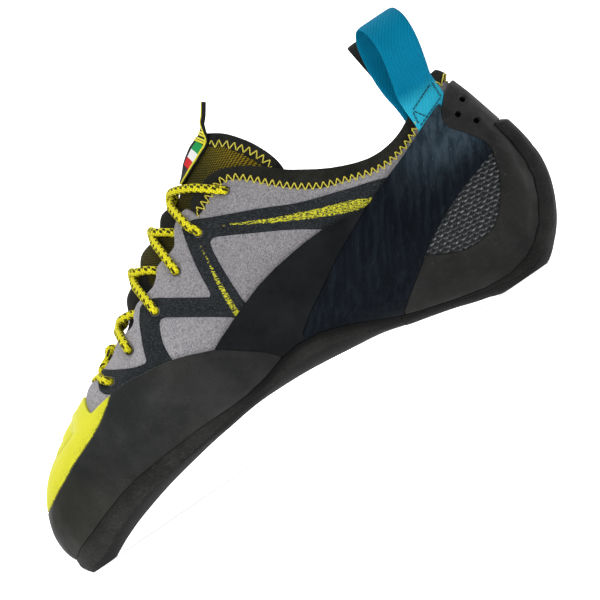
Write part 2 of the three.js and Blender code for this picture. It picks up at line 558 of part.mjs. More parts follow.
// a strand over the ridge, from one place in side view to another on the other side
function strand(from, ridge_x, to, side, lift, end_d) {
  const a = locate(...from, side);
  const b = { t: ridgeRow(ridge_x), q: 2 };
  const c = locate(...to, -side);
  const mix = (u, w, s, d) => surface(u.t + (w.t - u.t) * s, u.q + (w.q - u.q) * s, d);
  return [
    surface(a.t, a.q, clear), mix(a, b, 0.35, clear + 0.1), mix(a, b, 0.72, clear + lift * 0.5), mix(a, b, 1, clear + lift),
    mix(b, c, 0.35, clear + lift * 0.5), mix(b, c, 0.7, clear + (end_d - clear) * 0.5), surface(c.t, c.q, end_d),
  ];
}
{
  const [x, z] = EYELETS[0];
  add("lace_bar", cord(strand([x - 1.6, z + 1.4], 51.6, [x - 1.6, z + 1.4], -1, 0.5, clear)), LOOK.lace);
}
CROSSINGS.forEach(({ from_x, from_z, ridge_x, to_x, to_z }, k) => {
  const strands = [-1, 1].map((side) =>
    solidOf(cord(strand([from_x, from_z], ridge_x, [to_x, to_z], side, 0.4, k === 4 ? clear : 0.6))),
  );
  add("lace_cross_" + (k + 1), geometryOf(strands[0].add(strands[1])), LOOK.lace);
});

// pull loops: a webbing loop on each side of the heel, its ends lying on the upper's outside and inside
const LOOP_X = 231; // its middle
const LOOP_LEAN = { lateral: 0.075, medial: -0.01 }; // to the heel, for each millimetre up
const LOOP = [
  // out: from the upper's outside, or above the collar from a plumb line at the collar; z up
  { out: 0.95, z: 76.5 }, { out: 0.95, z: 81 }, { out: 0.95, z: 86 }, { out: 1.6, z: 91 }, { out: 3.6, z: 98 }, { out: 5.2, z: 106 },
  { out: 5.2, z: 113 }, { out: 3.4, z: 119.5 }, { out: -0.6, z: 123.2 }, { out: -5.2, z: 122.0 }, { out: -8.6, z: 117 }, { out: -9.8, z: 110 },
  { out: -9.2, z: 102 }, { out: -7.0, z: 95 }, { out: -4.4, z: 90 }, { out: -3.5, z: 86 }, { out: -3.5, z: 82 },
];
for (const [side, word] of [[-1, "lateral"], [1, "medial"]]) {
  const wall = (x, z) => {
    const at = locate(x, z, side);
    return spot(at.t, at.q);
  };
  const base = wall(LOOP_X, 88);
  const along = wall(LOOP_X + 7, 88).sub(wall(LOOP_X - 7, 88)).setZ(0).normalize(); // along the wall, to the heel
  const outward = new THREE.Vector3(along.y, -along.x, 0).multiplyScalar(-side);
  const path = LOOP.map(({ out, z }) => {
    const lean = z < 92 ? wall(LOOP_X, z).sub(base).dot(outward) : wall(LOOP_X, 92).sub(base).dot(outward);
    return new THREE.Vector3(lean + out, z, 0);
  });
  const line = new THREE.CatmullRomCurve3(path).getSpacedPoints(20);
  const edge = (sign) =>
    line.map((p, i) => {
      const d = line[Math.min(i + 1, line.length - 1)].clone().sub(line[Math.max(i - 1, 0)]).normalize();
      return new THREE.Vector2(p.x - (sign * d.y * WEB_T) / 2, p.y + (sign * d.x * WEB_T) / 2);
    });
  const g = new THREE.ExtrudeGeometry(new THREE.Shape([...edge(1), ...edge(-1).reverse()]), { depth: WEB_W, bevelEnabled: false });
  g.translate(0, 0, -WEB_W / 2);
  const up = along.clone().multiplyScalar(LOOP_LEAN[word]).setZ(1);
  const across = new THREE.Vector3().crossVectors(outward, new THREE.Vector3(0, 0, 1));
  const foot = base.clone().addScaledVector(along, -80 * LOOP_LEAN[word]);
  g.applyMatrix4(new THREE.Matrix4().makeBasis(outward, up, across).setPosition(foot.x - ORIGIN_X, foot.y - ORIGIN_Y, 0));
  // the webbing keeps off the wall and the rubber it is sewn to
  const heelPart = clip(form, (v) => Math.min(v.p.x - 205, side * v.p.y + 6));
  const keepOff = (field, margin, outer, inner) => solidOf(shell(cutOut(heelPart, (v) => field(v) + margin), outer, inner));
  const wallKeep = keepOff(open, GAP, GAP, -WALL - GAP);
  const bandKeep = keepOff(shaped(TENSION_BAND), 1.5, skin + GAP, -0.1);
  const cupKeep = keepOff(shaped(HEEL_CUP), 1.5, skin + GAP, -0.1);
  const bodies = solidOf(g).subtract(wallKeep).subtract(bandKeep).subtract(cupKeep).decompose();
  bodies.sort((a, b) => b.volume() - a.volume());
  add("pull_loop_" + word, geometryOf(bodies[0]), side < 0 ? LOOK.blue : LOOK.black);
}

// tab on the tongue: a folded ribbon standing up from the tongue's top edge
{
  const line = [[131, 117.2], [137, 120.7], [143, 124.6], [147, 127.6], [150, 130.2], [152.8, 133.4], [154.6, 136.0]];
  const thick = [1.2, 1.2, 1.4, 2.2, 2.4, 2.4, 2.4];
  const up = line.map(([x, z], i) => {
    const [a, b] = [line[Math.max(i - 1, 0)], line[Math.min(i + 1, line.length - 1)]];
    const l = Math.hypot(b[0] - a[0], b[1] - a[1]);
    return { x, z, nx: (-(b[1] - a[1]) / l) * (thick[i] / 2), nz: ((b[0] - a[0]) / l) * (thick[i] / 2) };
  });
  const shape = new THREE.Shape([
    ...up.map((q) => new THREE.Vector2(q.x + q.nx, q.z + q.nz)),
    ...up.reverse().map((q) => new THREE.Vector2(q.x - q.nx, q.z - q.nz)),
  ]);
  const g = new THREE.ExtrudeGeometry(shape, { depth: 12, bevelEnabled: false });
  g.translate(0, 0, -6);
  // shape's own axes x, z become the shoe's x and z
  g.applyMatrix4(new THREE.Matrix4().makeBasis(new THREE.Vector3(1, 0, 0), new THREE.Vector3(0, 0, 1), new THREE.Vector3(0, -1, 0)).setPosition(-ORIGIN_X, 0.8 - ORIGIN_Y, 0));
  add("tongue_tab", g, LOOK.black);
}

export default shoe;
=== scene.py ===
"""The looks of a left climbing shoe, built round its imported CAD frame.

Side view numbers are in millimetres: x from toe to heel, z up; side is -1 lateral, 1 medial.
The form is the outside of the fabric upper, worked out from a table of sections, and every
piece is cut from it in side view and moved out along its normals.
"""
import math

import bpy
import numpy as np
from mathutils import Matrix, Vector


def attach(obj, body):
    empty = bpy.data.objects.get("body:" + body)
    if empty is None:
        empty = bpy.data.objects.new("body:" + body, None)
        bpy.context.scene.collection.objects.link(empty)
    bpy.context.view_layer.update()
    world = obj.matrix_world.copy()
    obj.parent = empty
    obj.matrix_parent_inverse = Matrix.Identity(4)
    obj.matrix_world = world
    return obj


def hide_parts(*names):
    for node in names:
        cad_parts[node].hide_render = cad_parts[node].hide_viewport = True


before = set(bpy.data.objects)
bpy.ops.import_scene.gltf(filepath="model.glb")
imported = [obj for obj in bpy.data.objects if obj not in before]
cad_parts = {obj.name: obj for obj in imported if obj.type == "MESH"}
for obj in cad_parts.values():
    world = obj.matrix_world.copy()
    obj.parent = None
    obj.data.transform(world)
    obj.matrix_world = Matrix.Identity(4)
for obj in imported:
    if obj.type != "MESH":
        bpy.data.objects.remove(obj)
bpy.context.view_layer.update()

ORIGIN_X, ORIGIN_Y = 129.1, -1.05
WALL, GAP, RUBBER, TONGUE = 2.2, 0.3, 1.5, 2.4
SKIN = GAP + RUBBER
LACE_R = 1.84

# ------------------------------------------------------------------ the last's sections
COLUMNS = "bx bz tx tz yl ym yt yb hl hm pb qb nt".split()
SECTIONS = np.array([
    [1.8, 17.5, 1.8, 17.5, 14, 14, 14, 14, 0.45, 0.45, 2.0, 2.0, 2.0],
    [3.2, 10.6, 2.9, 25.0, 5, 22.5, 14, 13, 0.45, 0.45, 2.6, 2.1, 2.0],
    [7.0, 5.7, 6.8, 34.0, -3, 29.5, 14, 12, 0.42, 0.42, 3.4, 2.2, 2.0],
    [12.2, 4.7, 13.0, 41.8, -11, 34, 13.2, 10, 0.38, 0.4, 4.2, 2.3, 2.0],
    [22.0, 9.2, 21.0, 48.0, -19, 37.2, 12, 8, 0.34, 0.38, 4.8, 2.3, 2.0],
    [34.0, 13.2, 32.0, 55.2, -28, 39.6, 10.3, 6, 0.31, 0.36, 5.0, 2.4, 2.0],
    [48.0, 16.9, 44.5, 61.6, -36, 41, 8.4, 4, 0.29, 0.34, 5.0, 2.4, 2.0],
    [63.0, 19.8, 57.5, 67.5, -41.3, 41, 6.6, 2, 0.28, 0.33, 5.0, 2.4, 1.9],
    [79.0, 22.2, 71.5, 77.5, -43.4, 38.3, 5, 0, 0.28, 0.33, 4.6, 2.3, 1.8],
    [96.0, 23.4, 86.5, 93.2, -42.3, 34.2, 3.6, -1, 0.28, 0.34, 4.0, 2.2, 1.75],
    [113.0, 23.2, 103.0, 103.6, -39.2, 30.8, 2.2, -1, 0.29, 0.35, 3.4, 2.1, 1.75],
    [130.0, 22.4, 122.0, 112.8, -35.8, 29, 1.2, -1, 0.3, 0.36, 3.0, 2.0, 1.8],
    [147.0, 20.4, 143.0, 125.2, -33.2, 28.6, 0.5, -0.5, 0.31, 0.36, 3.0, 2.0, 1.9],
    [163.0, 18.0, 166.0, 134.5, -31.8, 29, 0, 0, 0.31, 0.35, 3.4, 2.0, 2.0],
    [178.0, 13.7, 190.0, 131.0, -31.4, 29.6, 0, 0, 0.3, 0.33, 4.0, 2.0, 2.1],
    [193.0, 9.7, 212.0, 120.5, -31.2, 30, 0, 0, 0.3, 0.32, 4.6, 2.0, 2.2],
    [207.0, 6.1, 229.0, 107.5, -30.5, 29.6, 0, 0, 0.31, 0.32, 5.0, 2.0, 2.2],
    [220.0, 3.6, 240.0, 93.0, -28.6, 28, 0, 0, 0.33, 0.33, 4.6, 2.0, 2.1],
    [231.5, 4.0, 245.4, 80.0, -25.3, 25, 0, 0, 0.36, 0.36, 3.6, 2.0, 2.0],
    [239.6, 10.8, 248.5, 69.0, -20.5, 20.5, 0, 0, 0.4, 0.4, 2.8, 2.0, 2.0],
    [246.2, 20.0, 251.0, 59.0, -14.2, 14.2, 0, 0, 0.44, 0.44, 2.3, 2.0, 2.0],
    [251.3, 31.0, 252.9, 50.3, -7.2, 7.2, 0, 0, 0.48, 0.48, 2.0, 2.0, 2.0],
    [253.5, 41.5, 253.5, 41.5, 0, 0, 0, 0, 0.5, 0.5, 2.0, 2.0, 2.0],
])
LAST = len(SECTIONS) - 1
C = {k: i for i, k in enumerate(COLUMNS)}


def mirror_end(r):
    r = r.copy()
    for a, b in (("bx", "tx"), ("bz", "tz"), ("yl", "ym"), ("yt", "yb")):
        r[[C[a], C[b]]] = r[[C[b], C[a]]]
    return r


EXTENDED = np.vstack([mirror_end(SECTIONS[1]), SECTIONS, mirror_end(SECTIONS[-2])])


def rows_at(t):
    t = np.clip(np.asarray(t, float), 0, LAST)
    i = np.minimum(t.astype(int), LAST - 1)
    f = (t - i)[..., None]
    a, b, c, d = (EXTENDED[i + n] for n in range(4))
    return 0.5 * (2 * b + (c - a) * f + (2 * a - 5 * b + 4 * c - d) * f**2 + (3 * b - a - 3 * c + d) * f**3)


def section_line(r, low, w, h, steps=120):
    """one quarter of a section, from bottom or from the widest point up"""
    a = np.linspace(0, np.pi / 2, steps)
    s, c = np.sin(a), np.maximum(np.cos(a), 0)
    g = lambda k: r[C[k]]
    if low:
        y = g("yb") + (w - g("yb")) * s ** (2 / g("pb"))
        up = h * (1 - c ** (2 / g("qb")))
    else:
        y = g("yt") + (w - g("yt")) * c ** (2 / g("nt"))
        up = h + (1 - h) * s ** (2 / g("nt"))
    return np.stack([g("bx") + (g("tx") - g("bx")) * up, y, g("bz") + (g("tz") - g("bz")) * up], 1)


def section(t, steps):
    """points round one section: bottom, lateral, top, medial, evenly spaced in each quarter"""
    r = rows_at(t)
    out = []
    for low, w, h, turn in (
        (True, "yl", "hl", False), (False, "yl", "hl", False), (False, "ym", "hm", True), (True, "ym", "hm", True),
    ):
        line = section_line(r, low, r[C[w]], r[C[h]])
        if turn:
            line = line[::-1]
        run = np.append(0, np.cumsum(np.linalg.norm(np.diff(line, axis=0), axis=1)))
        want = np.arange(steps) / steps * run[-1]
        out.append(np.stack([np.interp(want, run, line[:, k]) for k in range(3)], 1))
    return np.vstack(out)


def stations(step):
    t = np.linspace(0, LAST, 4000)
    r = rows_at(t)
    keys = [("bx", "bz", None), ("tx", "tz", None)]
    span = np.zeros(len(t) - 1)
    for a, b, _ in keys:
        span = np.maximum(span, np.hypot(np.diff(r[:, C[a]]), np.diff(r[:, C[b]])) * (1 if a == "bx" else 0.75))
    mid_l = np.stack([r[:, C["bx"]] * 0.7 + r[:, C["tx"]] * 0.3, r[:, C["yl"]], r[:, C["bz"]] * 0.7 + r[:, C["tz"]] * 0.3], 1)
    span = np.maximum(span, np.linalg.norm(np.diff(mid_l, axis=0), axis=1))
    run = np.append(0, np.cumsum(span))
    n = int(run[-1] / step)
    return np.interp(np.linspace(0, run[-1], n), run, t)


def unit(v):
    return v / np.maximum(np.linalg.norm(v, axis=-1, keepdims=True), 1e-12)


# mesh as (A, F): A has columns x y z, normal x y z, girth; F triangles
def build_form(step=1.32, quarter=54):
    ts = stations(step)
    ring = quarter * 4
    pts, index = [], []
    count = 0
    for i, t in enumerate(ts):
        p = section(t, quarter)
        if i in (0, len(ts) - 1):
            pts.append(p[:1])
            index.append(np.full(ring, count))
            count += 1
        else:
            pts.append(p)
            index.append(np.arange(ring) + count)
            count += ring
    P = np.vstack(pts)
    G = np.array(index)
    a, b = G[:-1], G[1:]
    c, d = np.roll(b, -1, 1), np.roll(a, -1, 1)
    a, b, c, d = (m.ravel() for m in (a, b, c, d))
    short = np.linalg.norm(P[a] - P[c], axis=1) <= np.linalg.norm(P[b] - P[d], axis=1)
    F = np.vstack([
        np.stack([a, b, c], 1)[short], np.stack([a, c, d], 1)[short],
        np.stack([a, b, d], 1)[~short], np.stack([b, c, d], 1)[~short],
    ])
    F = F[(F[:, 0] != F[:, 1]) & (F[:, 1] != F[:, 2]) & (F[:, 2] != F[:, 0])]
    N = vertex_normals(P, F)
    girth = np.full(len(P), 1e9)
    for line in G:
        q = P[line]
        seg = np.linalg.norm(np.roll(q, -1, 0) - q, axis=1)
        up = np.append(0, np.cumsum(seg)[:-1])
        down = np.append(0, np.cumsum(seg[::-1]))[:-1]
        down = np.append(down[:1], down[1:][::-1])
        girth[line] = np.minimum(girth[line], np.minimum(up, down))
    return np.hstack([P, N, girth[:, None]]), F


def vertex_normals(P, F):
    n = np.cross(P[F[:, 1]] - P[F[:, 0]], P[F[:, 2]] - P[F[:, 0]])
    N = np.zeros_like(P)
    for k in range(3):
        for j in range(3):
            N[:, j] += np.bincount(F[:, k], n[:, j], minlength=len(P))
    return unit(N)


# ------------------------------------------------------------------ lines in side view
COLLAR_CAD = [
    [49, 64.2], [57, 66.3], [63, 69.8], [70, 73], [78, 76.5], [85, 81.5], [92, 84.5], [99, 89.5], [107, 92.5], [113, 98],
    [118, 102.5], [125, 104], [131, 106.5], [137, 109], [142, 108.5], [150, 104.5], [158, 99.5], [165, 94.5], [170, 91.2],
    [180, 84.7], [190, 79.9], [200, 77.5], [207, 77.5], [215, 79.6], [222, 83.2], [230, 88.3], [236, 91.3], [241, 92.3], [260, 93],
]
# the suede's free edge: scalloped along the flap, then under the collar's padding
FLAP = [
    [49, 64.6], [54, 66.2], [57.2, 67.9], [60.4, 69.1], [64, 70.6], [66.5, 72.6], [69, 74.4], [72.5, 74.9], [77.6, 75.9], [79, 77.2],
    [80, 79], [81.7, 80.7], [83.8, 82.4], [87, 83.2], [90, 83.7], [93.8, 84.4], [95.8, 86], [97.2, 87.3], [98.8, 89.4],
    [100.2, 90.6], [103, 91.4], [107.5, 92.2], [110.4, 93.2], [112, 95.6], [113.6, 98.4], [116, 101.2], [119.4, 103.1],
    [122.6, 103.9], [124.2, 103.2], [125.4, 99.5], [127, 99.2], [131, 101.2], [136, 103.4], [140, 104.8], [145, 103.8], [150, 100.4],
    [155, 96], [160, 90.2], [165, 85.8], [170, 82], [175, 78.8], [181, 77], [190, 75], [197, 73.3], [204, 73], [211, 74.2],
    [217, 76.2], [221, 78.4], [228, 82.6], [235, 86.6], [240, 88.4], [260, 89],
]
# the padded collar's top edge, and the zigzag seam along its lower edge
TRIM_TOP = [
    [110, 99], [125, 103.4], [128, 106.2], [131, 107.8], [135, 109.2], [140, 109.9], [144, 109.6], [150, 106.9], [155.5, 103.4], [160, 100.0],
    [164, 96.2], [166.3, 94.1], [170, 91.3], [180, 84.6], [190, 80.1], [196.5, 78.1], [200, 77.6], [204, 77.4], [210, 78.2], [215.4, 79.8],
    [222, 83.2], [230, 88.3], [236, 91.6], [240, 93], [260, 93.6],
]
ZIG = [
    [110, 96], [126, 98.6], [129, 100.1], [132.5, 101.4], [137, 103.1], [141.6, 104.6], [145, 103.9], [148.5, 102.1], [151.2, 99.6], [154, 96.9], [157, 93.7],
    [160, 90.9], [163.5, 87.6], [167.5, 84.4], [171.5, 81.8], [175.5, 79.5], [180, 77.7], [184, 76.3], [190, 74.2], [197, 72.4],
    [204, 71.9], [211, 73.1], [217, 75.1], [221, 77.3], [228, 81.5], [235, 85.6], [239.5, 87.4], [260, 88.4],
]
SEAM = [
    [-9, 7.4], [1, 7.8], [3.4, 8.9], [8.6, 11.9], [21.5, 16.7], [34, 21], [44.8, 23.5], [55.5, 24.6], [64.3, 25.5], [77.8, 26.5],
    [92.4, 26.4], [100.4, 26.8], [110, 28.2], [121, 31], [130, 32], [140, 31], [150, 27.8], [160, 23.6], [174, 17.6],
]
SOLE_SPLIT = 172.5
SOLES = [
    *SEAM[:-1], [172.5, 18.0], [180.6, 15.2], [194.5, 11.2], [208.2, 7.8], [219.2, 6.8], [228.0, 8.3], [233.3, 11.0],
    [240, 17.0], [245.3, 25.2], [248.6, 33.4], [249.8, 41.1], [249.4, 50.8], [247.6, 60.0], [262, 61.0], [270, 30], [250, -20],
    [-9, -20],
]
RAND_EDGE = [
    [-9, 26.4], [1, 27.5], [2.6, 29.1], [5, 30.6], [8, 32], [10, 33.3], [15, 35.9], [20, 38.2], [25, 40.8], [30, 42.8], [35, 44.7],
    [40, 46.8], [45, 49.3], [50, 52.6], [52.4, 54.3], [55, 56.6], [58, 57.0], [62, 57.1], [66, 56.9],
    [70, 56.4], [75, 55.9], [80, 55.1], [84, 54.3], [90, 52.4], [95, 50.3], [100.3, 48.2], [105, 45.2], [109.7, 41.6], [114, 38.6],
    [118, 35.4], [121, 31.8], [124, -20],
]
TOE_EDGE = [
    [57, 54], [55, 56.4], [50, 55.7], [47, 55.1], [45, 54.6], [43.6, 54.5], [42.8, 55.2], [42.7, 57], [43.3, 59.6], [44.6, 61.9], [46.2, 64],
    [46.6, 80], [-20, 80], [-20, 10], [55, 10],
]
ARCH_PIECE = [
    [100.3, 48.4], [105, 50.7], [110, 52.6], [114.5, 54.4], [121.4, 57.0], [130, 59.9], [140, 62.1], [150, 63.4], [156, 64.0], [164.5, 64.4],
    [173, 63.8], [180, 62.9], [186, 61.9], [192, 64], [196, 58], [166.5, 46], [141.8, 33], [133, 15], [121, 15], [112, 34], [98, 47],
]
TENSION_BAND = [
    [131.5, 32.6], [141.8, 39.5], [150, 43.8], [160, 49.4], [170, 54.6], [180, 59.2], [186, 61.8], [189.8, 63.4], [194.4, 65.0], [200, 67.2],
    [205.7, 69.0], [211.3, 71.1], [220, 74.7], [229, 78.3], [233.6, 80.1], [234.8, 79.2], [232.8, 76.6], [231.4, 73.8], [231.3, 71.4], [232.1, 69.2],
    [234.3, 66.3], [236.8, 62.9], [238.9, 59.6], [240.6, 56.6], [241.1, 53.6], [241, 51], [234.2, 49], [226.6, 46.7],
    [220, 44.6], [215.4, 42.6], [210, 40.3], [203.6, 37.0], [200, 35.1], [195, 32.2], [187, 26.6], [178, 20.8], [173.4, 17.6], [171, 5], [131, 5],
]
HEEL_CUP = [
    [173.4, 17.6], [178, 20.8], [187, 26.6], [195, 32.2], [198.5, 29.4], [203.6, 26.8], [208.7, 24.7], [213.8, 23.8], [220, 24.2], [225, 25.8],
    [230, 30.0], [233.2, 33.8], [236.2, 37.9], [238.8, 43], [240, 47], [241, 51], [241.1, 53.6], [240.6, 56.6], [238.9, 59.6], [236.8, 62.9],
    [234.3, 66.3], [232.1, 69.2], [231.3, 71.4], [231.4, 73.8], [232.8, 76.6], [235.8, 79.8], [239.6, 83.4], [243.4, 85.2],
    [262, 85.6], [270, 30], [250, -20], [171.8, -20],
]
HEEL_PATCH = [[190, 31], [200, 37.6], [220, 47.5], [241, 55], [245, 51], [240, 33], [220, 20], [199, 22]]
TONGUE_SHAPE = [
    [44, 52], [60, 57], [80, 64], [100, 74], [120, 83], [140, 89], [156, 90], [164, 90], [165.3, 93], [165.6, 96.6], [165.0, 100.8],
    [163.2, 106.0], [160.4, 111.8], [156.8, 117.1], [152.9, 121.9], [149.3, 124.9], [145, 128.2], [140, 145], [30, 145],
]
TONGUE_RIM = [[142, 131], [145, 128.2], [149.3, 124.9], [152.9, 121.9], [156.8, 117.1], [160.4, 111.8], [163.2, 106.0], [165.0, 100.8], [165.6, 96.6], [165.3, 93], [164, 86]]
EYELETS = [[56.9, 61.9], [70.6, 68.4], [88.9, 75.4], [105.3, 84.4], [122.0, 92.3], [141.0, 100.9]]
HOLES = [[242.6, 75.9], [237.8, 71.8], [242.4, 65.4]]
BOTTOM = [
    [0, 17], [1, 10], [2.5, 4], [5, 0.5], [7, 0], [10, 0], [13, 0.8], [20, 3], [25, 5.3], [30, 6.9], [40, 9.7], [50, 12.1], [60, 14.1], [70, 16.3],
    [80, 17.5], [90, 19], [100, 20.3], [110, 19.5], [120, 19.6], [130, 19.2], [140, 18.4], [150, 16.9], [160, 14.9], [170, 13.5], [180, 10.8],
    [190, 7.6], [200, 4.7], [210, 1.8], [220, 0.1], [225, 0], [230, 0.1], [235, 1.7], [240, 4.7], [245, 9.5], [250, 16.7], [255, 27.3], [258, 42],
]
# microfibre overlays sewn on the suede
OVERLAYS = {
    "band_low": [
        [54.2, 69], [53.2, 66], [52.4, 62.6], [51.6, 60.2], [52.2, 58.4], [54, 57.2], [56, 56.4], [62, 54], [84, 51], [83.5, 54.5], [83.6, 58.4], [84.2, 63],
        [85.3, 66.1], [86.8, 69.1], [88.1, 70.9], [89.3, 71.4], [90.9, 70.9], [93.8, 69.1], [100, 64.9], [105.2, 61.5], [110, 58.2], [114.6, 55], [116, 52], [123, 54],
        [121.5, 57], [121.5, 62.6], [121.7, 69.1], [122.1, 76.9], [122.7, 82.1], [123.3, 85.4], [124.6, 87.1], [127.3, 86.8],
        [130, 85.3], [140, 79.7], [150, 74.3], [158, 69.5], [162.3, 66.4], [165.9, 64.1], [172, 60], [192, 60], [203, 65], [199.6, 67.3],
        [190, 70.4], [186, 71.4], [180, 73.6], [173, 75.7], [166.6, 77.9], [160, 80.5], [150, 85.7], [140, 90.2], [130, 94.7], [125.6, 96.9],
        [123.4, 98], [117.6, 98.4], [116.4, 94.6], [114.9, 88.6], [113.5, 82.1], [112.7, 75.2], [112.2, 69.8], [111.9, 68],
        [111.2, 67.3], [109.6, 68.3], [105.2, 71.2], [100, 74.7], [95.6, 77.6], [93.2, 79.3], [91, 80.4], [88, 80.8], [84.9, 80.4], [82.7, 77.6], [80.3, 74.4],
        [78.4, 70.3], [76.1, 65.3], [74.9, 61.8], [74.3, 60.4], [73.4, 59.9], [70, 60.5], [66, 62.2], [62, 64.4], [57.6, 67.2], [56.2, 69],
    ],
}
# yellow speckled streaks printed on two of the bands: x, z, full width
STREAKS = [
    [[119.9, 87.4, 0.1], [119.3, 83.5, 0.6], [118.3, 77.8, 1.0], [117.4, 71.3, 1.7], [116.9, 66, 2.1], [116.5, 61, 2.4], [116.3, 55.4, 2.5]],
    [[129.9, 90.1, 0.1], [135, 87.4, 0.7], [140, 84.7, 1.2], [145.4, 81.8, 1.6], [150, 79.2, 1.9], [155, 76.9, 2.4], [160, 74.5, 3.0],
     [166.6, 71.4, 3.5], [173, 68.6, 4.2], [180, 65.9, 4.7], [184.5, 64.1, 4.2], [189.6, 62.9, 1.5]],
]


# ------------------------------------------------------------------ fields
def height_of(line, x):
    line = np.asarray(line, float)
    return np.interp(x, line[:, 0], line[:, 1])


def distance_to(line, x, z):
    line = np.asarray(line, float)
    best = np.full(np.shape(x), 1e9)
    for (ax, az), (bx, bz) in zip(line[:-1], line[1:]):
        l2 = max((bx - ax) ** 2 + (bz - az) ** 2, 1e-12)
        t = np.clip(((x - ax) * (bx - ax) + (z - az) * (bz - az)) / l2, 0, 1)
        best = np.minimum(best, np.hypot(x - ax - t * (bx - ax), z - az - t * (bz - az)))
    return best


def inside(outline, x, z):
    pts = np.asarray(outline, float)
    closed = np.vstack([pts, pts[:1]])
    best = distance_to(closed, x, z)
    hit = np.zeros(np.shape(x), bool)
    for (ax, az), (bx, bz) in zip(closed[:-1], closed[1:]):
        if az == bz:
            continue
        hit ^= ((az > z) != (bz > z)) & (x < (bx - ax) * (z - az) / (bz - az) + ax)
    return np.where(hit, best, -best)


def below(line, x, z):
    d = distance_to(line, x, z)
    return np.where(z < height_of(line, x), d, -d)


def rounded(points, turns=2, closed=False):
    """corners cut smooth"""
    p = np.asarray(points, float)
    for _ in range(turns):
        a, b = (p, np.roll(p, -1, 0)) if closed else (p[:-1], p[1:])
        q = np.stack([a * 0.75 + b * 0.25, a * 0.25 + b * 0.75], 1).reshape(-1, p.shape[1])
        p = q if closed else np.vstack([p[:1], q, p[-1:]])
    return p


def smooth(x, a, b):
    s = np.clip((x - a) / (b - a), 0, 1)
    return s * s * (3 - 2 * s)


def curve(points, step):
    """an even walk along a smooth curve through the points"""
    p = np.asarray(points, float)
    e = np.vstack([2 * p[0] - p[1], p, 2 * p[-1] - p[-2]])
    out = []
    for i in range(len(p) - 1):
        a, b, c, d = e[i : i + 4]
        ta = np.linalg.norm(b - a) ** 0.5 + 1e-9
        tb = ta + np.linalg.norm(c - b) ** 0.5 + 1e-9
        tc = tb + np.linalg.norm(d - c) ** 0.5 + 1e-9
        for t in np.linspace(ta, tb, 16, endpoint=False):
            a1 = a + (b - a) * (t / ta)
            a2 = b + (c - b) * ((t - ta) / (tb - ta))
            a3 = c + (d - c) * ((t - tb) / (tc - tb))
            b1 = a1 + (a2 - a1) * (t / tb)
            b2 = a2 + (a3 - a2) * ((t - ta) / (tc - ta))
            out.append(b1 + (b2 - b1) * ((t - ta) / (tb - ta)))
    out = np.array(out + [p[-1]])
    run = np.append(0, np.cumsum(np.linalg.norm(np.diff(out, axis=0), axis=1)))
    n = max(2, int(round(run[-1] / step)) + 1)
    want = np.linspace(0, run[-1], n)
    return np.stack([np.interp(want, run, out[:, k]) for k in range(out.shape[1])], 1)


# ------------------------------------------------------------------ cutting triangle meshes
def cut_at(A, F, v, snap=0.04):
    """splits the triangles along the line where v is 0"""
    v = np.where(np.abs(v) < snap, 0.0, v)
    s = np.sign(v)
    E0, E1 = F, np.roll(F, -1, 1)
    cross = s[E0] * s[E1] < 0
    n = cross.sum(1)
    if not n.any():
        return A, F, v
    lo, hi = np.minimum(E0, E1), np.maximum(E0, E1)
    key = lo.astype(np.int64) * len(A) + hi
    uk, inv = np.unique(key[cross], return_inverse=True)
    a, b = uk // len(A), uk % len(A)
    w = v[a] / (v[a] - v[b])
    new = A[a] + (A[b] - A[a]) * w[:, None]
    idx = np.full(F.shape, -1, np.int64)
    idx[cross] = inv.ravel() + len(A)
    out = [F[n == 0]]
    m = np.where(n == 1)[0]
    if len(m):
        k = cross[m].argmax(1)
        p = idx[m, k]
        a, b, c = F[m, k], F[m, (k + 1) % 3], F[m, (k + 2) % 3]
        out += [np.stack([a, p, c], 1), np.stack([p, b, c], 1)]
    m = np.where(n == 2)[0]
    if len(m):
        k = (~cross[m]).argmax(1)
        c, a, b = F[m, k], F[m, (k + 1) % 3], F[m, (k + 2) % 3]
        p, r = idx[m, (k + 1) % 3], idx[m, (k + 2) % 3]
        out += [np.stack([p, b, r], 1), np.stack([a, p, r], 1), np.stack([a, r, c], 1)]
    return np.vstack([A, new]), np.vstack(out), np.append(v, np.zeros(len(new)))


def keep(mesh, field, at=0.0):
    A, F = mesh
    A, F, v = cut_at(A, F, field(A) - at)
    return compact(A, F[v[F].max(1) > 0])


def crease(mesh, field, *levels):
    """adds mesh lines where the field has these values"""
    A, F = mesh
    for at in levels:
        A, F, _ = cut_at(A, F, field(A) - at)
    return A, F


def compact(A, F):
    used, inv = np.unique(F, return_inverse=True)
    return A[used], inv.reshape(-1, 3)


def finer(mesh, turns=1):
    A, F = mesh
    for _ in range(turns):
        E0, E1 = F, np.roll(F, -1, 1)
        key = np.minimum(E0, E1).astype(np.int64) * len(A) + np.maximum(E0, E1)
        uk, inv = np.unique(key, return_inverse=True)
        mid = inv.reshape(F.shape) + len(A)
        A = np.vstack([A, (A[uk // len(A)] + A[uk % len(A)]) / 2])
        a, b, c = F.T
        p, q, r = mid.T
        F = np.vstack([np.stack(t, 1) for t in ((a, p, r), (p, b, q), (r, q, c), (p, q, r))])
    return A, F


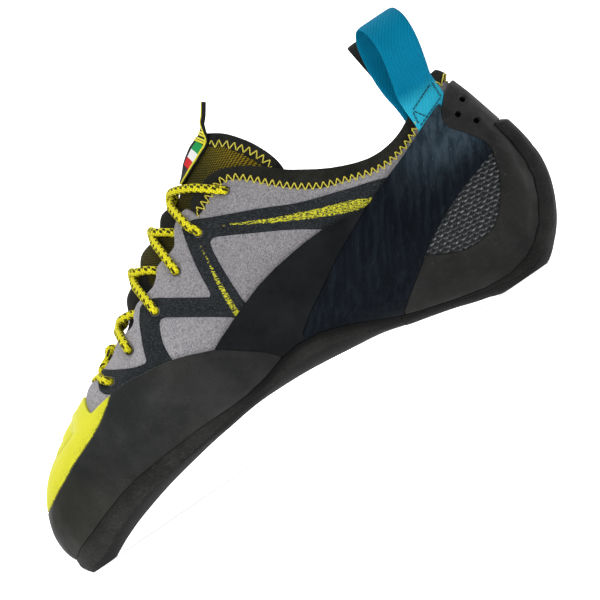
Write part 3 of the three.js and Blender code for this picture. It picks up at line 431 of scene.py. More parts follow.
def shell(mesh, outer, inner, rings=0, bulge=0.0):
    """a closed shell between two offsets; the free edges may be rounded. Returns V, F, kind: 0 outer, 1 inner, 2 edge"""
    A, F = mesh
    P, N = A[:, :3], unit(A[:, 3:6])
    o = outer if np.ndim(outer) else np.full(len(P), float(outer))
    i = inner if np.ndim(inner) else np.full(len(P), float(inner))
    top, low = P + N * o[:, None], P + N * i[:, None]
    n = len(P)
    E = np.vstack([F[:, [0, 1]], F[:, [1, 2]], F[:, [2, 0]]]).astype(np.int64)
    fwd, rev = E[:, 0] * n + E[:, 1], E[:, 1] * n + E[:, 0]
    free = E[~np.isin(fwd, rev)]
    verts, faces, kinds = [top, low], [F, F[:, ::-1] + n], [np.zeros(len(F), int), np.ones(len(F), int)]
    if len(free):
        a, b = free.T
        if rings:
            g = np.cross(P[b] - P[a], N[a] + N[b])
            G = np.zeros_like(P)
            for ends in (a, b):
                for k in range(3):
                    G[:, k] += np.bincount(ends, g[:, k], minlength=n)
            G = unit(G)
            rim = np.unique(free)
            place = np.full(n, -1)
            place[rim] = np.arange(len(rim))
            mid, half = (top[rim] + low[rim]) / 2, (top[rim] - low[rim]) / 2
            size = bulge[rim] if np.ndim(bulge) else np.full(len(rim), float(bulge))
            rows = [rim]
            base = 2 * n
            for k in range(1, rings + 1):
                th = math.pi * k / (rings + 1)
                verts.append(mid + half * math.cos(th) + G[rim] * (size * math.sin(th))[:, None])
                rows.append(np.arange(len(rim)) + base)
                base += len(rim)
            rows.append(rim + n)
            for u, w in zip(rows[:-1], rows[1:]):
                ua, ub, wa, wb = u[place[a]], u[place[b]], w[place[a]], w[place[b]]
                faces += [np.stack([ub, ua, wa], 1), np.stack([ub, wa, wb], 1)]
                kinds += [np.full(len(a), 2)] * 2
        else:
            faces += [np.stack([b, a, a + n], 1), np.stack([b, a + n, b + n], 1)]
            kinds += [np.full(len(a), 2)] * 2
    return np.vstack(verts), np.vstack(faces), np.concatenate(kinds)


# ------------------------------------------------------------------ places on the form
def row_through(x, z):
    """t of the section whose side-view line passes through (x, z)"""
    x, z = np.broadcast_arrays(np.asarray(x, float), np.asarray(z, float))
    lo, hi = np.full(x.shape, 0.02), np.full(x.shape, LAST - 0.02)
    for _ in range(36):
        mid = (lo + hi) / 2
        r = rows_at(mid)
        f = (x - r[..., C["bx"]]) * (r[..., C["tz"]] - r[..., C["bz"]]) - (z - r[..., C["bz"]]) * (r[..., C["tx"]] - r[..., C["bx"]])
        lo, hi = np.where(f > 0, mid, lo), np.where(f > 0, hi, mid)
    return (lo + hi) / 2


def y_at(x, z, side):
    r = rows_at(row_through(x, z))
    g = lambda k: r[..., C[k]]
    up = ((x - g("bx")) * (g("tx") - g("bx")) + (z - g("bz")) * (g("tz") - g("bz"))) / ((g("tx") - g("bx")) ** 2 + (g("tz") - g("bz")) ** 2)
    up = np.clip(up, 0.002, 0.9985)
    side = np.broadcast_to(side, np.shape(up))
    w, h = np.where(side < 0, g("yl"), g("ym")), np.where(side < 0, g("hl"), g("hm"))
    s = np.clip((up - h) / (1 - h), 0, 1) ** (g("nt") / 2)
    high = g("yt") + (w - g("yt")) * np.sqrt(np.clip(1 - s * s, 0, 1)) ** (2 / g("nt"))
    c = np.clip(1 - up / h, 0, 1) ** (g("qb") / 2)
    low = g("yb") + (w - g("yb")) * np.sqrt(np.clip(1 - c * c, 0, 1)) ** (2 / g("pb"))
    return np.where(up > h, high, low)


def on_side(x, z, side, d=0.0):
    """the form's point at (x, z) in side view, moved out by d"""
    x, z, side = np.broadcast_arrays(np.asarray(x, float), np.asarray(z, float), np.asarray(side, float))
    e = 0.35
    p = np.stack([x, y_at(x, z, side), z], -1)
    dx = (y_at(x + e, z, side) - y_at(x - e, z, side)) / (2 * e)
    dz = (y_at(x, z + e, side) - y_at(x, z - e, side)) / (2 * e)
    n = unit(np.stack([-dx, np.ones_like(dx), -dz], -1) * side[..., None])
    return p + n * np.broadcast_to(d, x.shape)[..., None]


def ridge_row(x):
    t = np.linspace(0.5, LAST - 0.5, 4000)
    tx = rows_at(t)[:, C["tx"]]
    k = int(np.argmax(tx >= x))
    return float(t[k])


def at_row(t, q, d=0.0):
    """q counts quarters from the keel: 1 lateral, 2 ridge, 3 medial"""
    def spot(t, q):
        p = section(t, 24)
        at = min(max(q * 24, 0), 95.999)
        k = int(at)
        return p[k] + (p[(k + 1) % 96] - p[k]) * (at - k)
    along = spot(t + 0.04, q) - spot(t - 0.04, q)
    about = spot(t, q + 0.06) - spot(t, q - 0.06)
    return spot(t, q) + unit(np.cross(along, about)) * d


# ------------------------------------------------------------------ Blender objects
def to_row(V):
    return (np.asarray(V) - [ORIGIN_X, ORIGIN_Y, 0]) / 1000


def make(name, V, F, mats, face_mat=None, attrs=None, replaces=(), flat=False):
    """V in side-view millimetres"""
    V, F = np.asarray(V, float), np.asarray(F)
    me = bpy.data.meshes.new(name)
    n = F.shape[1]
    me.vertices.add(len(V))
    me.vertices.foreach_set("co", to_row(V).astype(np.float32).ravel())
    me.loops.add(F.size)
    me.loops.foreach_set("vertex_index", F.astype(np.int32).ravel())
    me.polygons.add(len(F))
    me.polygons.foreach_set("loop_start", (np.arange(len(F)) * n).astype(np.int32))
    me.update(calc_edges=True)
    me.polygons.foreach_set("use_smooth", np.full(len(F), not flat))
    for m in mats if isinstance(mats, (list, tuple)) else [mats]:
        me.materials.append(m)
    if face_mat is not None:
        me.polygons.foreach_set("material_index", np.asarray(face_mat, np.int32))
    for key, value in (attrs or {}).items():
        value = np.asarray(value, np.float32)
        kind = "FLOAT" if value.ndim == 1 else "FLOAT_VECTOR"
        at = me.attributes.new(key, kind, "POINT")
        at.data.foreach_set("value" if kind == "FLOAT" else "vector", value.ravel())
    me.update()
    ob = bpy.data.objects.new(name, me)
    bpy.context.scene.collection.objects.link(ob)
    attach(ob, "root")
    if replaces:
        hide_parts(*replaces)
    return ob


def tube(path, radius, sides=8, cap=True, twist=0.0):
    """V, F (triangles), attribute map (cosine of the turn, mm along, sine)"""
    p = np.asarray(path, float)
    t = unit(np.gradient(p, axis=0))
    u = np.cross(t[0], [0.3, 0.2, 1.0])
    frames = []
    for k in range(len(p)):
        u = u - t[k] * np.dot(u, t[k])
        u = u / max(np.linalg.norm(u), 1e-9)
        frames.append(u)
    U = np.array(frames)
    W = np.cross(t, U)
    r = np.broadcast_to(radius, len(p))
    run = np.append(0, np.cumsum(np.linalg.norm(np.diff(p, axis=0), axis=1)))
    a = np.arange(sides) / sides * 2 * math.pi
    V = p[:, None] + (U[:, None] * np.cos(a)[None, :, None] + W[:, None] * np.sin(a)[None, :, None]) * r[:, None, None]
    m = np.stack([np.broadcast_to(np.cos(a), (len(p), sides)), np.broadcast_to(run[:, None], (len(p), sides)),
                  np.broadcast_to(np.sin(a), (len(p), sides))], -1)
    V, m = V.reshape(-1, 3), m.reshape(-1, 3)
    i = np.arange(len(p) - 1)[:, None] * sides
    j = np.arange(sides)[None]
    q = np.stack([i + j, i + (j + 1) % sides, i + sides + (j + 1) % sides, i + sides + j], -1).reshape(-1, 4)
    F = np.vstack([q[:, [0, 1, 2]], q[:, [0, 2, 3]]])
    if cap:
        n = len(V)
        V = np.vstack([V, p[:1] - t[:1] * r[0] * 0.5, p[-1:] + t[-1:] * r[-1] * 0.5])
        m = np.vstack([m, m[:1], m[-1:]])
        k = np.arange(sides)
        F = np.vstack([F, np.stack([(k + 1) % sides, k, np.full(sides, n)], 1),
                       np.stack([k + n - sides, (k + 1) % sides + n - sides, np.full(sides, n + 1)], 1)])
    return V, F, m


def join(parts):
    V, F, M, base = [], [], [], 0
    for v, f, m in parts:
        V.append(v)
        F.append(f + base)
        M.append(m)
        base += len(v)
    return np.vstack(V), np.vstack(F), np.vstack(M)


# ------------------------------------------------------------------ materials
class Look:
    def __init__(self, name, color=(0.5, 0.5, 0.5), rough=0.8, **sockets):
        self.m = bpy.data.materials.new(name)
        self.m.use_nodes = True
        self.nt = self.m.node_tree
        self.b = self.nt.nodes["Principled BSDF"]
        self.b.inputs["Base Color"].default_value = (*color, 1)
        self.b.inputs["Roughness"].default_value = rough
        for k, v in sockets.items():
            self.b.inputs[k.replace("_", " ")].default_value = v
        self._mm = None

    def new(self, kind, **props):
        n = self.nt.nodes.new(kind)
        for k, v in props.items():
            setattr(n, k, v)
        return n

    def put(self, socket, value):
        if hasattr(value, "links"):
            self.nt.links.new(value, socket)
        elif isinstance(value, (tuple, list)) and len(value) == 3 and len(socket.default_value) == 4:
            socket.default_value = (*value, 1)
        else:
            socket.default_value = value

    def mm(self):
        """the place on the shoe, in millimetres"""
        if self._mm is None:
            tc = self.new("ShaderNodeTexCoord")
            s = self.new("ShaderNodeVectorMath", operation="SCALE")
            self.nt.links.new(tc.outputs["Object"], s.inputs[0])
            s.inputs["Scale"].default_value = 1000
            self._mm = s.outputs[0]
        return self._mm

    def squeeze(self, vec, scale, turn=(0, 0, 0)):
        """turned first, then scaled along the turned axes"""
        for key, value, idle in (("Rotation", turn, (0, 0, 0)), ("Scale", scale, (1, 1, 1))):
            if tuple(value) != idle:
                m = self.new("ShaderNodeMapping")
                self.put(m.inputs["Vector"], vec)
                m.inputs[key].default_value = value
                vec = m.outputs[0]
        return vec

    def attr(self, name, vector=False):
        a = self.new("ShaderNodeAttribute", attribute_name=name)
        return a.outputs["Vector" if vector else "Fac"]

    def noise(self, scale, detail=3, rough=0.55, vec=None, distort=0.0):
        n = self.new("ShaderNodeTexNoise")
        self.put(n.inputs["Vector"], self.mm() if vec is None else vec)
        n.inputs["Scale"].default_value = scale
        n.inputs["Detail"].default_value = detail
        n.inputs["Roughness"].default_value = rough
        n.inputs["Distortion"].default_value = distort
        return n.outputs["Fac"]

    def voronoi(self, scale, vec=None, feature="F1", random=1.0):
        n = self.new("ShaderNodeTexVoronoi", feature=feature)
        self.put(n.inputs["Vector"], self.mm() if vec is None else vec)
        n.inputs["Scale"].default_value = scale
        n.inputs["Randomness"].default_value = random
        return n.outputs["Distance"]

    def math(self, op, a, b=0.0, c=0.0, clamp=False):
        n = self.new("ShaderNodeMath", operation=op, use_clamp=clamp)
        for s, v in zip(n.inputs, (a, b, c)):
            self.put(s, v)
        return n.outputs[0]

    def step(self, value, a, b, lo=0.0, hi=1.0):
        n = self.new("ShaderNodeMapRange", interpolation_type="SMOOTHSTEP")
        for k, v in (("Value", value), ("From Min", a), ("From Max", b), ("To Min", lo), ("To Max", hi)):
            self.put(n.inputs[k], v)
        return n.outputs["Result"]

    def mix(self, f, a, b):
        n = self.new("ShaderNodeMix", data_type="RGBA")
        self.put(n.inputs["Factor"], f)
        self.put(n.inputs[6], a)
        self.put(n.inputs[7], b)
        return n.outputs[2]

    def split(self, vec):
        n = self.new("ShaderNodeSeparateXYZ")
        self.put(n.inputs[0], vec)
        return n.outputs

    def merge(self, x, y, z=0.0):
        n = self.new("ShaderNodeCombineXYZ")
        for s, v in zip(n.inputs, (x, y, z)):
            self.put(s, v)
        return n.outputs[0]

    def color(self, value):
        self.put(self.b.inputs["Base Color"], value)

    def rough(self, value):
        self.put(self.b.inputs["Roughness"], value)

    def bump(self, height, mm=0.2, strength=1.0, normal=None):
        n = self.new("ShaderNodeBump")
        n.inputs["Distance"].default_value = mm / 1000
        n.inputs["Strength"].default_value = strength
        self.put(n.inputs["Height"], height)
        if normal is not None:
            self.put(n.inputs["Normal"], normal)
        self.put(self.b.inputs["Normal"], n.outputs[0])
        return n.outputs[0]


def suede_look():
    L = Look("suede", rough=0.95, Specular_IOR_Level=0.08)
    nap = L.noise(1.5, 4, 0.75, L.squeeze(L.mm(), (0.75, 1.0, 1.3), (0, 0.5, 0)))
    pits = L.step(L.noise(1.5, 2, 0.6, L.squeeze(L.mm(), (0.7, 0.9, 1.4), (0, 0.5, 0))), 0.33, 0.46, 1.0, 0.0)
    cloud = L.step(L.noise(0.06, 3), 0.35, 0.65)
    base = L.mix(cloud, (0.380, 0.361, 0.378), (0.415, 0.398, 0.412))
    base = L.mix(L.step(nap, 0.38, 0.58, 0.75, 0.0), base, (0.20, 0.188, 0.20))
    base = L.mix(L.math("MULTIPLY", pits, 0.35), base, (0.130, 0.122, 0.132))
    base = L.mix(L.step(nap, 0.56, 0.68, 0.0, 0.65), base, (0.56, 0.54, 0.56))
    # painted shade: darker towards the heel, where the side turns away from the light
    base = L.mix(L.step(L.split(L.mm())[0], -45, 0, 0.0, 0.26), base, (0.11, 0.108, 0.11))
    xyz = L.split(L.mm())
    # near black on the suede from x 102 mm and below z 80 mm, behind the heel cup and seen through its holes
    base = L.mix(L.math("MULTIPLY", L.step(xyz[0], 102, 104), L.step(xyz[2], 79.0, 80.0, 1.0, 0.0)), base, (0.006, 0.006, 0.006))
    L.color(base)
    L.bump(L.math("SUBTRACT", L.math("MULTIPLY", nap, 1.0), L.math("MULTIPLY", pits, 0.4)), 0.5, 1.0)
    return L.m


def microfibre_look(name="microfibre"):
    L = Look(name, rough=0.85, Specular_IOR_Level=0.1)
    v = L.squeeze(L.mm(), (1, 1, 1), (0, math.radians(-28), 0))
    w = L.new("ShaderNodeTexWave", wave_type="BANDS", bands_direction="Z")
    L.put(w.inputs["Vector"], v)
    w.inputs["Scale"].default_value = 0.5
    w.inputs["Distortion"].default_value = 2.5
    w.inputs["Detail"].default_value = 2
    w.inputs["Detail Scale"].default_value = 1.5
    fine = L.noise(1.9, 3, 0.7, L.squeeze(v, (0.6, 0.7, 1.3)))
    tone = L.mix(L.step(L.noise(0.07, 2), 0.3, 0.7), (0.0170, 0.0195, 0.0215), (0.0235, 0.0265, 0.0285))
    tone = L.mix(L.step(w.outputs["Fac"], 0.3, 0.75, 0.45, 0.0), tone, (0.006, 0.007, 0.008))
    tone = L.mix(L.step(fine, 0.52, 0.68, 0.0, 0.75), tone, (0.066, 0.072, 0.078))
    tone = L.mix(L.step(fine, 0.36, 0.48, 0.8, 0.0), tone, (0.004, 0.005, 0.006))
    # the streaks: yellow print that the weave breaks into dashes
    s = L.attr("streak")
    ragged = L.math("ADD", s, L.math("MULTIPLY", L.math("SUBTRACT", L.noise(1.3, 2), 0.5), 1.5))
    dash = L.step(L.noise(1.15, 2, 0.7, L.squeeze(v, (0.75, 0.8, 2.2))), 0.445, 0.53)
    on = L.math("MULTIPLY", L.step(ragged, 0.0, 0.15), dash)
    yellow = L.mix(L.noise(1.1, 2), (0.42, 0.40, 0.020), (0.74, 0.71, 0.045))
    L.color(L.mix(on, tone, yellow))
    L.bump(L.math("ADD", L.math("MULTIPLY", w.outputs["Fac"], 0.3), L.math("ADD", L.math("MULTIPLY", fine, 0.9), L.math("MULTIPLY", on, 0.25))), 0.2, 0.8)
    return L.m


def rubber_look(name, dark, light, tint, rough=(0.5, 0.72), smudge=0.035, brown=0.5, spec=0.14, dusty=0.3, dark_along_x=None, under=None):
    """matt rubber with soft grey and olive smudges"""
    L = Look(name, rough=rough[1], Specular_IOR_Level=spec)
    big = L.step(L.noise(smudge, 5, 0.62), 0.38, 0.64)
    olive = L.step(L.noise(smudge * 0.6, 3, 0.6, L.squeeze(L.mm(), (1, 1, 1), (1.1, 0.3, 0.6))), 0.4, 0.66)
    c = L.mix(big, dark, light)
    c = L.mix(L.math("MULTIPLY", olive, brown), c, tint)
    dust = L.step(L.noise(0.5, 5, 0.75), 0.56, 0.76)
    c = L.mix(L.math("MULTIPLY", dust, dusty), c, (0.060, 0.061, 0.058))
    # darker along x between the two given places
    if dark_along_x:
        c = L.mix(L.step(L.split(L.mm())[0], dark_along_x[0], dark_along_x[1], 0.0, dark_along_x[2]), c, (0.005, 0.005, 0.005))
    if under:  # darker towards the floor
        c = L.mix(L.step(L.split(L.mm())[2], under[0], under[1], under[2], 0.0), c, (0.004, 0.004, 0.0035))
    pore = L.step(L.noise(1.1, 3, 0.7), 0.32, 0.44, 0.5, 0.0)
    c = L.mix(pore, c, (0.004, 0.004, 0.004))
    L.color(c)
    L.rough(L.step(L.noise(0.09, 3), 0.3, 0.7, rough[0], rough[1]))
    L.bump(L.math("ADD", L.math("MULTIPLY", L.noise(0.8, 4, 0.65), 0.6), L.math("MULTIPLY", L.noise(0.12, 2), 1.2)), 0.2, 0.7)
    return L


def outsole_look(name="sole_rubber"):
    L = Look(name, rough=0.7, Specular_IOR_Level=0.14)
    rise = L.attr("rise")
    x = L.split(L.mm())[0]
    sand = L.noise(1.3, 5, 0.75, L.squeeze(L.mm(), (0.4, 1, 1.4), (0, math.radians(-12), 0)))
    big = L.step(L.noise(0.06, 4, 0.6), 0.35, 0.68)
    c = L.mix(big, (0.0125, 0.0125, 0.0115), (0.0260, 0.0260, 0.0240))
    c = L.mix(L.math("MULTIPLY", L.step(sand, 0.52, 0.70), 0.6), c, (0.070, 0.070, 0.065))
    c = L.mix(L.step(sand, 0.36, 0.46, 0.6, 0.0), c, (0.005, 0.005, 0.005))
    dim = L.math("MULTIPLY", L.step(x, -62, -10), L.step(x, 70, 120, 1.0, 0.85))
    c = L.mix(L.math("MULTIPLY", dim, 0.45), c, (0.004, 0.004, 0.0035))
    edge = L.math("MULTIPLY", L.step(L.math("ABSOLUTE", L.math("SUBTRACT", rise, 2.3)), 0.10, 0.40, 1.0, 0.0), 0.7)
    c = L.mix(edge, c, (0.003, 0.003, 0.003))
    # partly painted shade: the lowest band and the underside, which faces the floor, are darker; partly the smooth
    # unsanded rubber of that band
    lower = L.step(rise, 0.9, 2.2, 1.0, 0.0)
    c = L.mix(L.math("MULTIPLY", lower, 0.65), c, (0.004, 0.004, 0.004))
    # painted shadow: a dark band along the sole's top edge at the waist, for the shadow in the recess there
    waist_groove_shadow = L.math("MULTIPLY", L.step(x, -45, -20, 0.25, 1.0), L.step(x, 62, 90, 1.0, 0.35))
    c = L.mix(L.math("MULTIPLY", L.step(L.attr("brim"), 0.5, 2.0, 0.92, 0.0), waist_groove_shadow), c, (0.0012, 0.0012, 0.0012))
    L.color(c)
    h = L.math("SUBTRACT", L.math("ADD", L.math("MULTIPLY", sand, 1.0), L.math("MULTIPLY", L.noise(0.5, 3), 0.5)), L.math("MULTIPLY", edge, 0.8))
    L.bump(h, 0.3, 0.8)
    return L.m


def toe_look():
    L = Look("toe_rubber", rough=0.6, Specular_IOR_Level=0.12)
    low = L.attr("low")  # distance above the patch's lower edge, mm
    relief = L.attr("relief")
    cloud = L.step(L.noise(0.05, 3), 0.35, 0.65)
    c = L.mix(cloud, (0.635, 0.618, 0.018), (0.672, 0.645, 0.030))
    # painted shade along the moulded steps between the plates
    c = L.mix(L.math("MULTIPLY", L.step(relief, 0.15, 0.85), 0.85), c, (0.44, 0.435, 0.006))
    # painted highlight along the V arm's ridge and a band below the V line
    c = L.mix(L.math("MULTIPLY", L.attr("toe_highlight"), 0.7), c, (0.70, 0.68, 0.13))
    c = L.mix(L.step(L.noise(1.2, 3, 0.7), 0.36, 0.46, 0.18, 0.0), c, (0.45, 0.44, 0.015))
    specks = L.step(L.noise(1.05, 4, 0.7), 0.50, 0.62)
    near = L.step(L.math("ADD", low, L.math("MULTIPLY", L.noise(0.35, 2), 2.0)), 0.8, 5.2, 1.0, 0.0)
    c = L.mix(L.math("MULTIPLY", L.math("MULTIPLY", specks, near), 0.6), c, (0.30, 0.29, 0.03))
    c = L.mix(L.math("MULTIPLY", L.step(L.math("ADD", low, L.math("MULTIPLY", L.noise(1.3, 3), 1.1)), 0.7, 1.1, 1.0, 0.0), 0.85), c, (0.04, 0.04, 0.015))
    L.color(c)
    L.bump(L.math("ADD", L.math("MULTIPLY", L.noise(0.9, 4), 0.5), L.math("MULTIPLY", L.math("MULTIPLY", specks, near), 0.8)), 0.2, 0.6)
    return L.m


def band_look():
    L = Look("band_rubber", rough=0.5, Specular_IOR_Level=0.06)
    v = L.squeeze(L.mm(), (0.42, 0.4, 0.05), (0, math.radians(-34), 0))
    brush = L.noise(1.0, 5, 0.6, v)
    fine = L.noise(5.0, 3, 0.6, v)
    band_highlight = L.attr("glow")  # painted highlight, lighter toward the heel and top
    c = L.mix(L.step(brush, 0.38, 0.66), (0.0010, 0.0022, 0.0045), (0.0050, 0.0080, 0.0122))
    lit = L.mix(L.step(brush, 0.36, 0.66), (0.0135, 0.0230, 0.0320), (0.034, 0.052, 0.068))
    c = L.mix(band_highlight, c, lit)
    c = L.mix(L.math("MULTIPLY", L.step(fine, 0.56, 0.72), L.math("ADD", 0.10, L.math("MULTIPLY", band_highlight, 0.5))), c, (0.060, 0.082, 0.104))
    c = L.mix(L.math("MULTIPLY", L.step(L.noise(0.9, 5, 0.75), 0.58, 0.74), 0.25), c, (0.020, 0.026, 0.032))
    L.color(c)
    L.rough(L.step(brush, 0.3, 0.7, 0.40, 0.6))
    L.bump(L.math("ADD", L.math("MULTIPLY", fine, 0.25), L.math("MULTIPLY", L.noise(0.5, 3), 0.4)), 0.14, 0.6)
    return L.m


def grip_look():
    L = Look("grip_rubber", rough=0.45, Specular_IOR_Level=0.2)
    h = L.attr("scale")
    rim = L.attr("lip_highlight")
    # painted shade: darker just below each scale's free edge, on the scale it overhangs
    c = L.mix(L.step(h, 0.25, 0.95), (0.0030, 0.0034, 0.0036), (0.0125, 0.0135, 0.0145))
    # painted highlight on each scale's lip
    c = L.mix(L.math("MULTIPLY", rim, L.step(L.noise(0.8, 3, 0.75), 0.36, 0.60, 0.10, 1.0)), c, (0.30, 0.315, 0.325))
    L.color(c)
    L.bump(L.noise(1.7, 4, 0.7), 0.15, 0.7)
    return L.m


def cloth_look(name, dark, light, cell=0.9, rough=0.9, lift=0.16, spec=0.06):
    """a fine woven or knitted cloth"""
    L = Look(name, rough=rough, Specular_IOR_Level=spec)
    knit = L.voronoi(1 / cell * 1.3, L.squeeze(L.mm(), (1, 1, 1.5)), random=0.6)
    tone = L.step(L.noise(0.12, 3), 0.3, 0.7)
    c = L.mix(tone, dark, light)
    c = L.mix(L.step(knit, 0.15, 0.6, 0.0, 0.55), c, tuple(v * 0.4 for v in dark))
    c = L.mix(L.step(L.noise(1.9, 3, 0.7), 0.58, 0.7, 0.0, 0.5), c, tuple(v * 2.2 for v in light))
    L.color(c)
    L.bump(L.math("SUBTRACT", L.math("MULTIPLY", L.noise(2.6, 3), 0.5), L.math("MULTIPLY", knit, 0.7)), lift, 0.8)
    return L.m


def mesh_look():
    """black mesh with yellow threads showing through its cells"""
    L = Look("tongue_mesh", rough=0.85, Specular_IOR_Level=0.08)
    u, v, _ = L.split(L.attr("map", True))[:3]
    su = L.math("SINE", L.math("MULTIPLY", u, 2 * math.pi / 1.5))
    sv = L.math("SINE", L.math("MULTIPLY", v, 2 * math.pi / 1.5))
    cell = L.math("MULTIPLY", su, sv)
    tone = L.attr("tone")  # 0 black with fine dots, 1 olive
    rag = L.math("MULTIPLY", L.math("SUBTRACT", L.noise(1.2, 2), 0.5), 0.8)
    dots = L.step(L.math("ADD", L.math("ABSOLUTE", cell), rag), 0.30, 0.62)
    olive = L.mix(tone, (0.30, 0.25, 0.012), (0.30, 0.205, 0.012))
    under = L.mix(tone, (0.006, 0.006, 0.005), (0.018, 0.014, 0.005))
    much = L.math("MULTIPLY", dots, L.math("ADD", 0.25, L.math("MULTIPLY", tone, 0.72)))
    L.color(L.mix(much, under, olive))
    L.bump(L.math("ABSOLUTE", cell), 0.25, 0.9)
    return L.m


def lace_look():
    L = Look("lace", rough=0.8, Specular_IOR_Level=0.1)
    u, v, w = L.split(L.attr("map", True))[:3]
    turn = L.math("ARCTAN2", w, u)
    a1 = L.math("SINE", L.math("ADD", L.math("MULTIPLY", turn, 6.0), L.math("MULTIPLY", v, 4.6)))
    a2 = L.math("SINE", L.math("SUBTRACT", L.math("MULTIPLY", turn, 6.0), L.math("MULTIPLY", v, 4.6)))
    braid = L.math("MAXIMUM", a1, a2)
    c = L.mix(L.step(braid, -0.3, 0.8), (0.52, 0.45, 0.008), (0.84, 0.77, 0.024))
    c = L.mix(L.math("MULTIPLY", L.step(L.noise(0.9, 3), 0.45, 0.7), 0.25), c, (0.62, 0.52, 0.010))
    # flecks: three tracks round the cord, in each a pair of short black dashes at every 3.4 mm, shifted from track to track
    lane = L.math("ADD", L.math("MULTIPLY", turn, 3 / (2 * math.pi)), 0.35)
    which = L.math("FLOOR", lane)
    mid = L.math("SUBTRACT", L.math("SUBTRACT", lane, which), 0.5)
    odd = L.math("MULTIPLY", L.math("PINGPONG", which, 1.0), 1.7)
    def dash(at, off):
        q = L.math("DIVIDE", L.math("ADD", L.math("ADD", v, odd), 34.0 - at), 3.4)
        q = L.math("SUBTRACT", L.math("FRACT", q), 0.5)
        along = L.math("DIVIDE", L.math("ABSOLUTE", q), 0.24)
        across = L.math("DIVIDE", L.math("ABSOLUTE", L.math("SUBTRACT", mid, L.math("ADD", off, L.math("MULTIPLY", q, 0.35)))), 0.15)
        d = L.math("MAXIMUM", along, across)
        return L.step(L.math("ADD", d, L.math("MULTIPLY", L.math("SUBTRACT", L.noise(2.2, 2), 0.5), 0.6)), 0.9, 1.2, 1.0, 0.0)
    on = L.math("MAXIMUM", dash(0.0, 0.13), dash(1.05, -0.14))
    L.color(L.mix(L.math("MULTIPLY", on, 0.96), c, (0.022, 0.018, 0.008)))
    L.bump(braid, 0.2, 0.9)
    return L.m


def thread_look(name, a, b):
    L = Look(name, rough=0.5, Specular_IOR_Level=0.3)
    u, v, w = L.split(L.attr("map", True))[:3]
    turn = L.math("ARCTAN2", w, u)
    ply = L.math("SINE", L.math("ADD", L.math("MULTIPLY", turn, 2.0), L.math("MULTIPLY", v, 7.5)))
    L.color(L.mix(L.step(ply, -0.7, 0.7), a, b))
    L.bump(ply, 0.06, 0.8)
    return L.m


def webbing_look(name, dark, light, foot=None):
    L = Look(name, rough=0.6, Specular_IOR_Level=0.04)
    u, v, _ = L.split(L.attr("map", True))[:3]
    row = L.math("FRACT", L.math("MULTIPLY", L.math("FLOOR", L.math("DIVIDE", v, 0.55)), 0.5))
    su = L.math("SINE", L.math("MULTIPLY", L.math("ADD", u, L.math("MULTIPLY", row, 0.8)), 2 * math.pi / 0.8))
    sv = L.math("ABSOLUTE", L.math("SINE", L.math("MULTIPLY", v, math.pi / 0.55)))
    weave = L.math("MULTIPLY", L.step(su, -0.7, 0.9), sv)
    c = L.mix(L.step(weave, 0.05, 0.8), dark, light)
    c = L.mix(L.math("MULTIPLY", L.step(L.noise(0.1, 3), 0.35, 0.7), 0.2), c, dark)
    # painted highlight: the lowest part of the webbing, up to 12 to 21 mm from its start, is lighter as if it faced the
    # light
    if foot:
        c = L.mix(L.math("MULTIPLY", L.step(v, 12.0, 21.0, 0.62, 0.0), L.step(weave, 0.0, 0.8, 0.55, 1.0)), c, foot)
    L.color(c)
    L.bump(weave, 0.2, 0.9)
    return L.m


def ribbon_look():
    L = Look("ribbon", rough=0.6, Specular_IOR_Level=0.08)
    u, v, _ = L.split(L.attr("map", True))[:3]  # u across -6..6 mm, v is x in side view
    v = L.math("SUBTRACT", v, L.math("MULTIPLY", u, 0.22))
    black = (0.014, 0.014, 0.014)
    c = L.mix(L.step(v, 132.4, 132.7), black, (0.62, 0.018, 0.022))
    c = L.mix(L.step(v, 135.5, 135.8), c, (0.80, 0.80, 0.78))
    c = L.mix(L.step(v, 138.8, 139.1), c, (0.012, 0.30, 0.075))
    c = L.mix(L.step(v, 142.6, 142.9), c, black)
    c = L.mix(L.step(u, 2.5, 2.7), c, black)
    c = L.mix(L.step(u, -4.6, -4.4, 1.0, 0.0), c, black)
    rib = L.math("SINE", L.math("MULTIPLY", v, 2 * math.pi / 0.45))
    L.color(c)
    L.bump(rib, 0.10, 0.8)
    return L.m


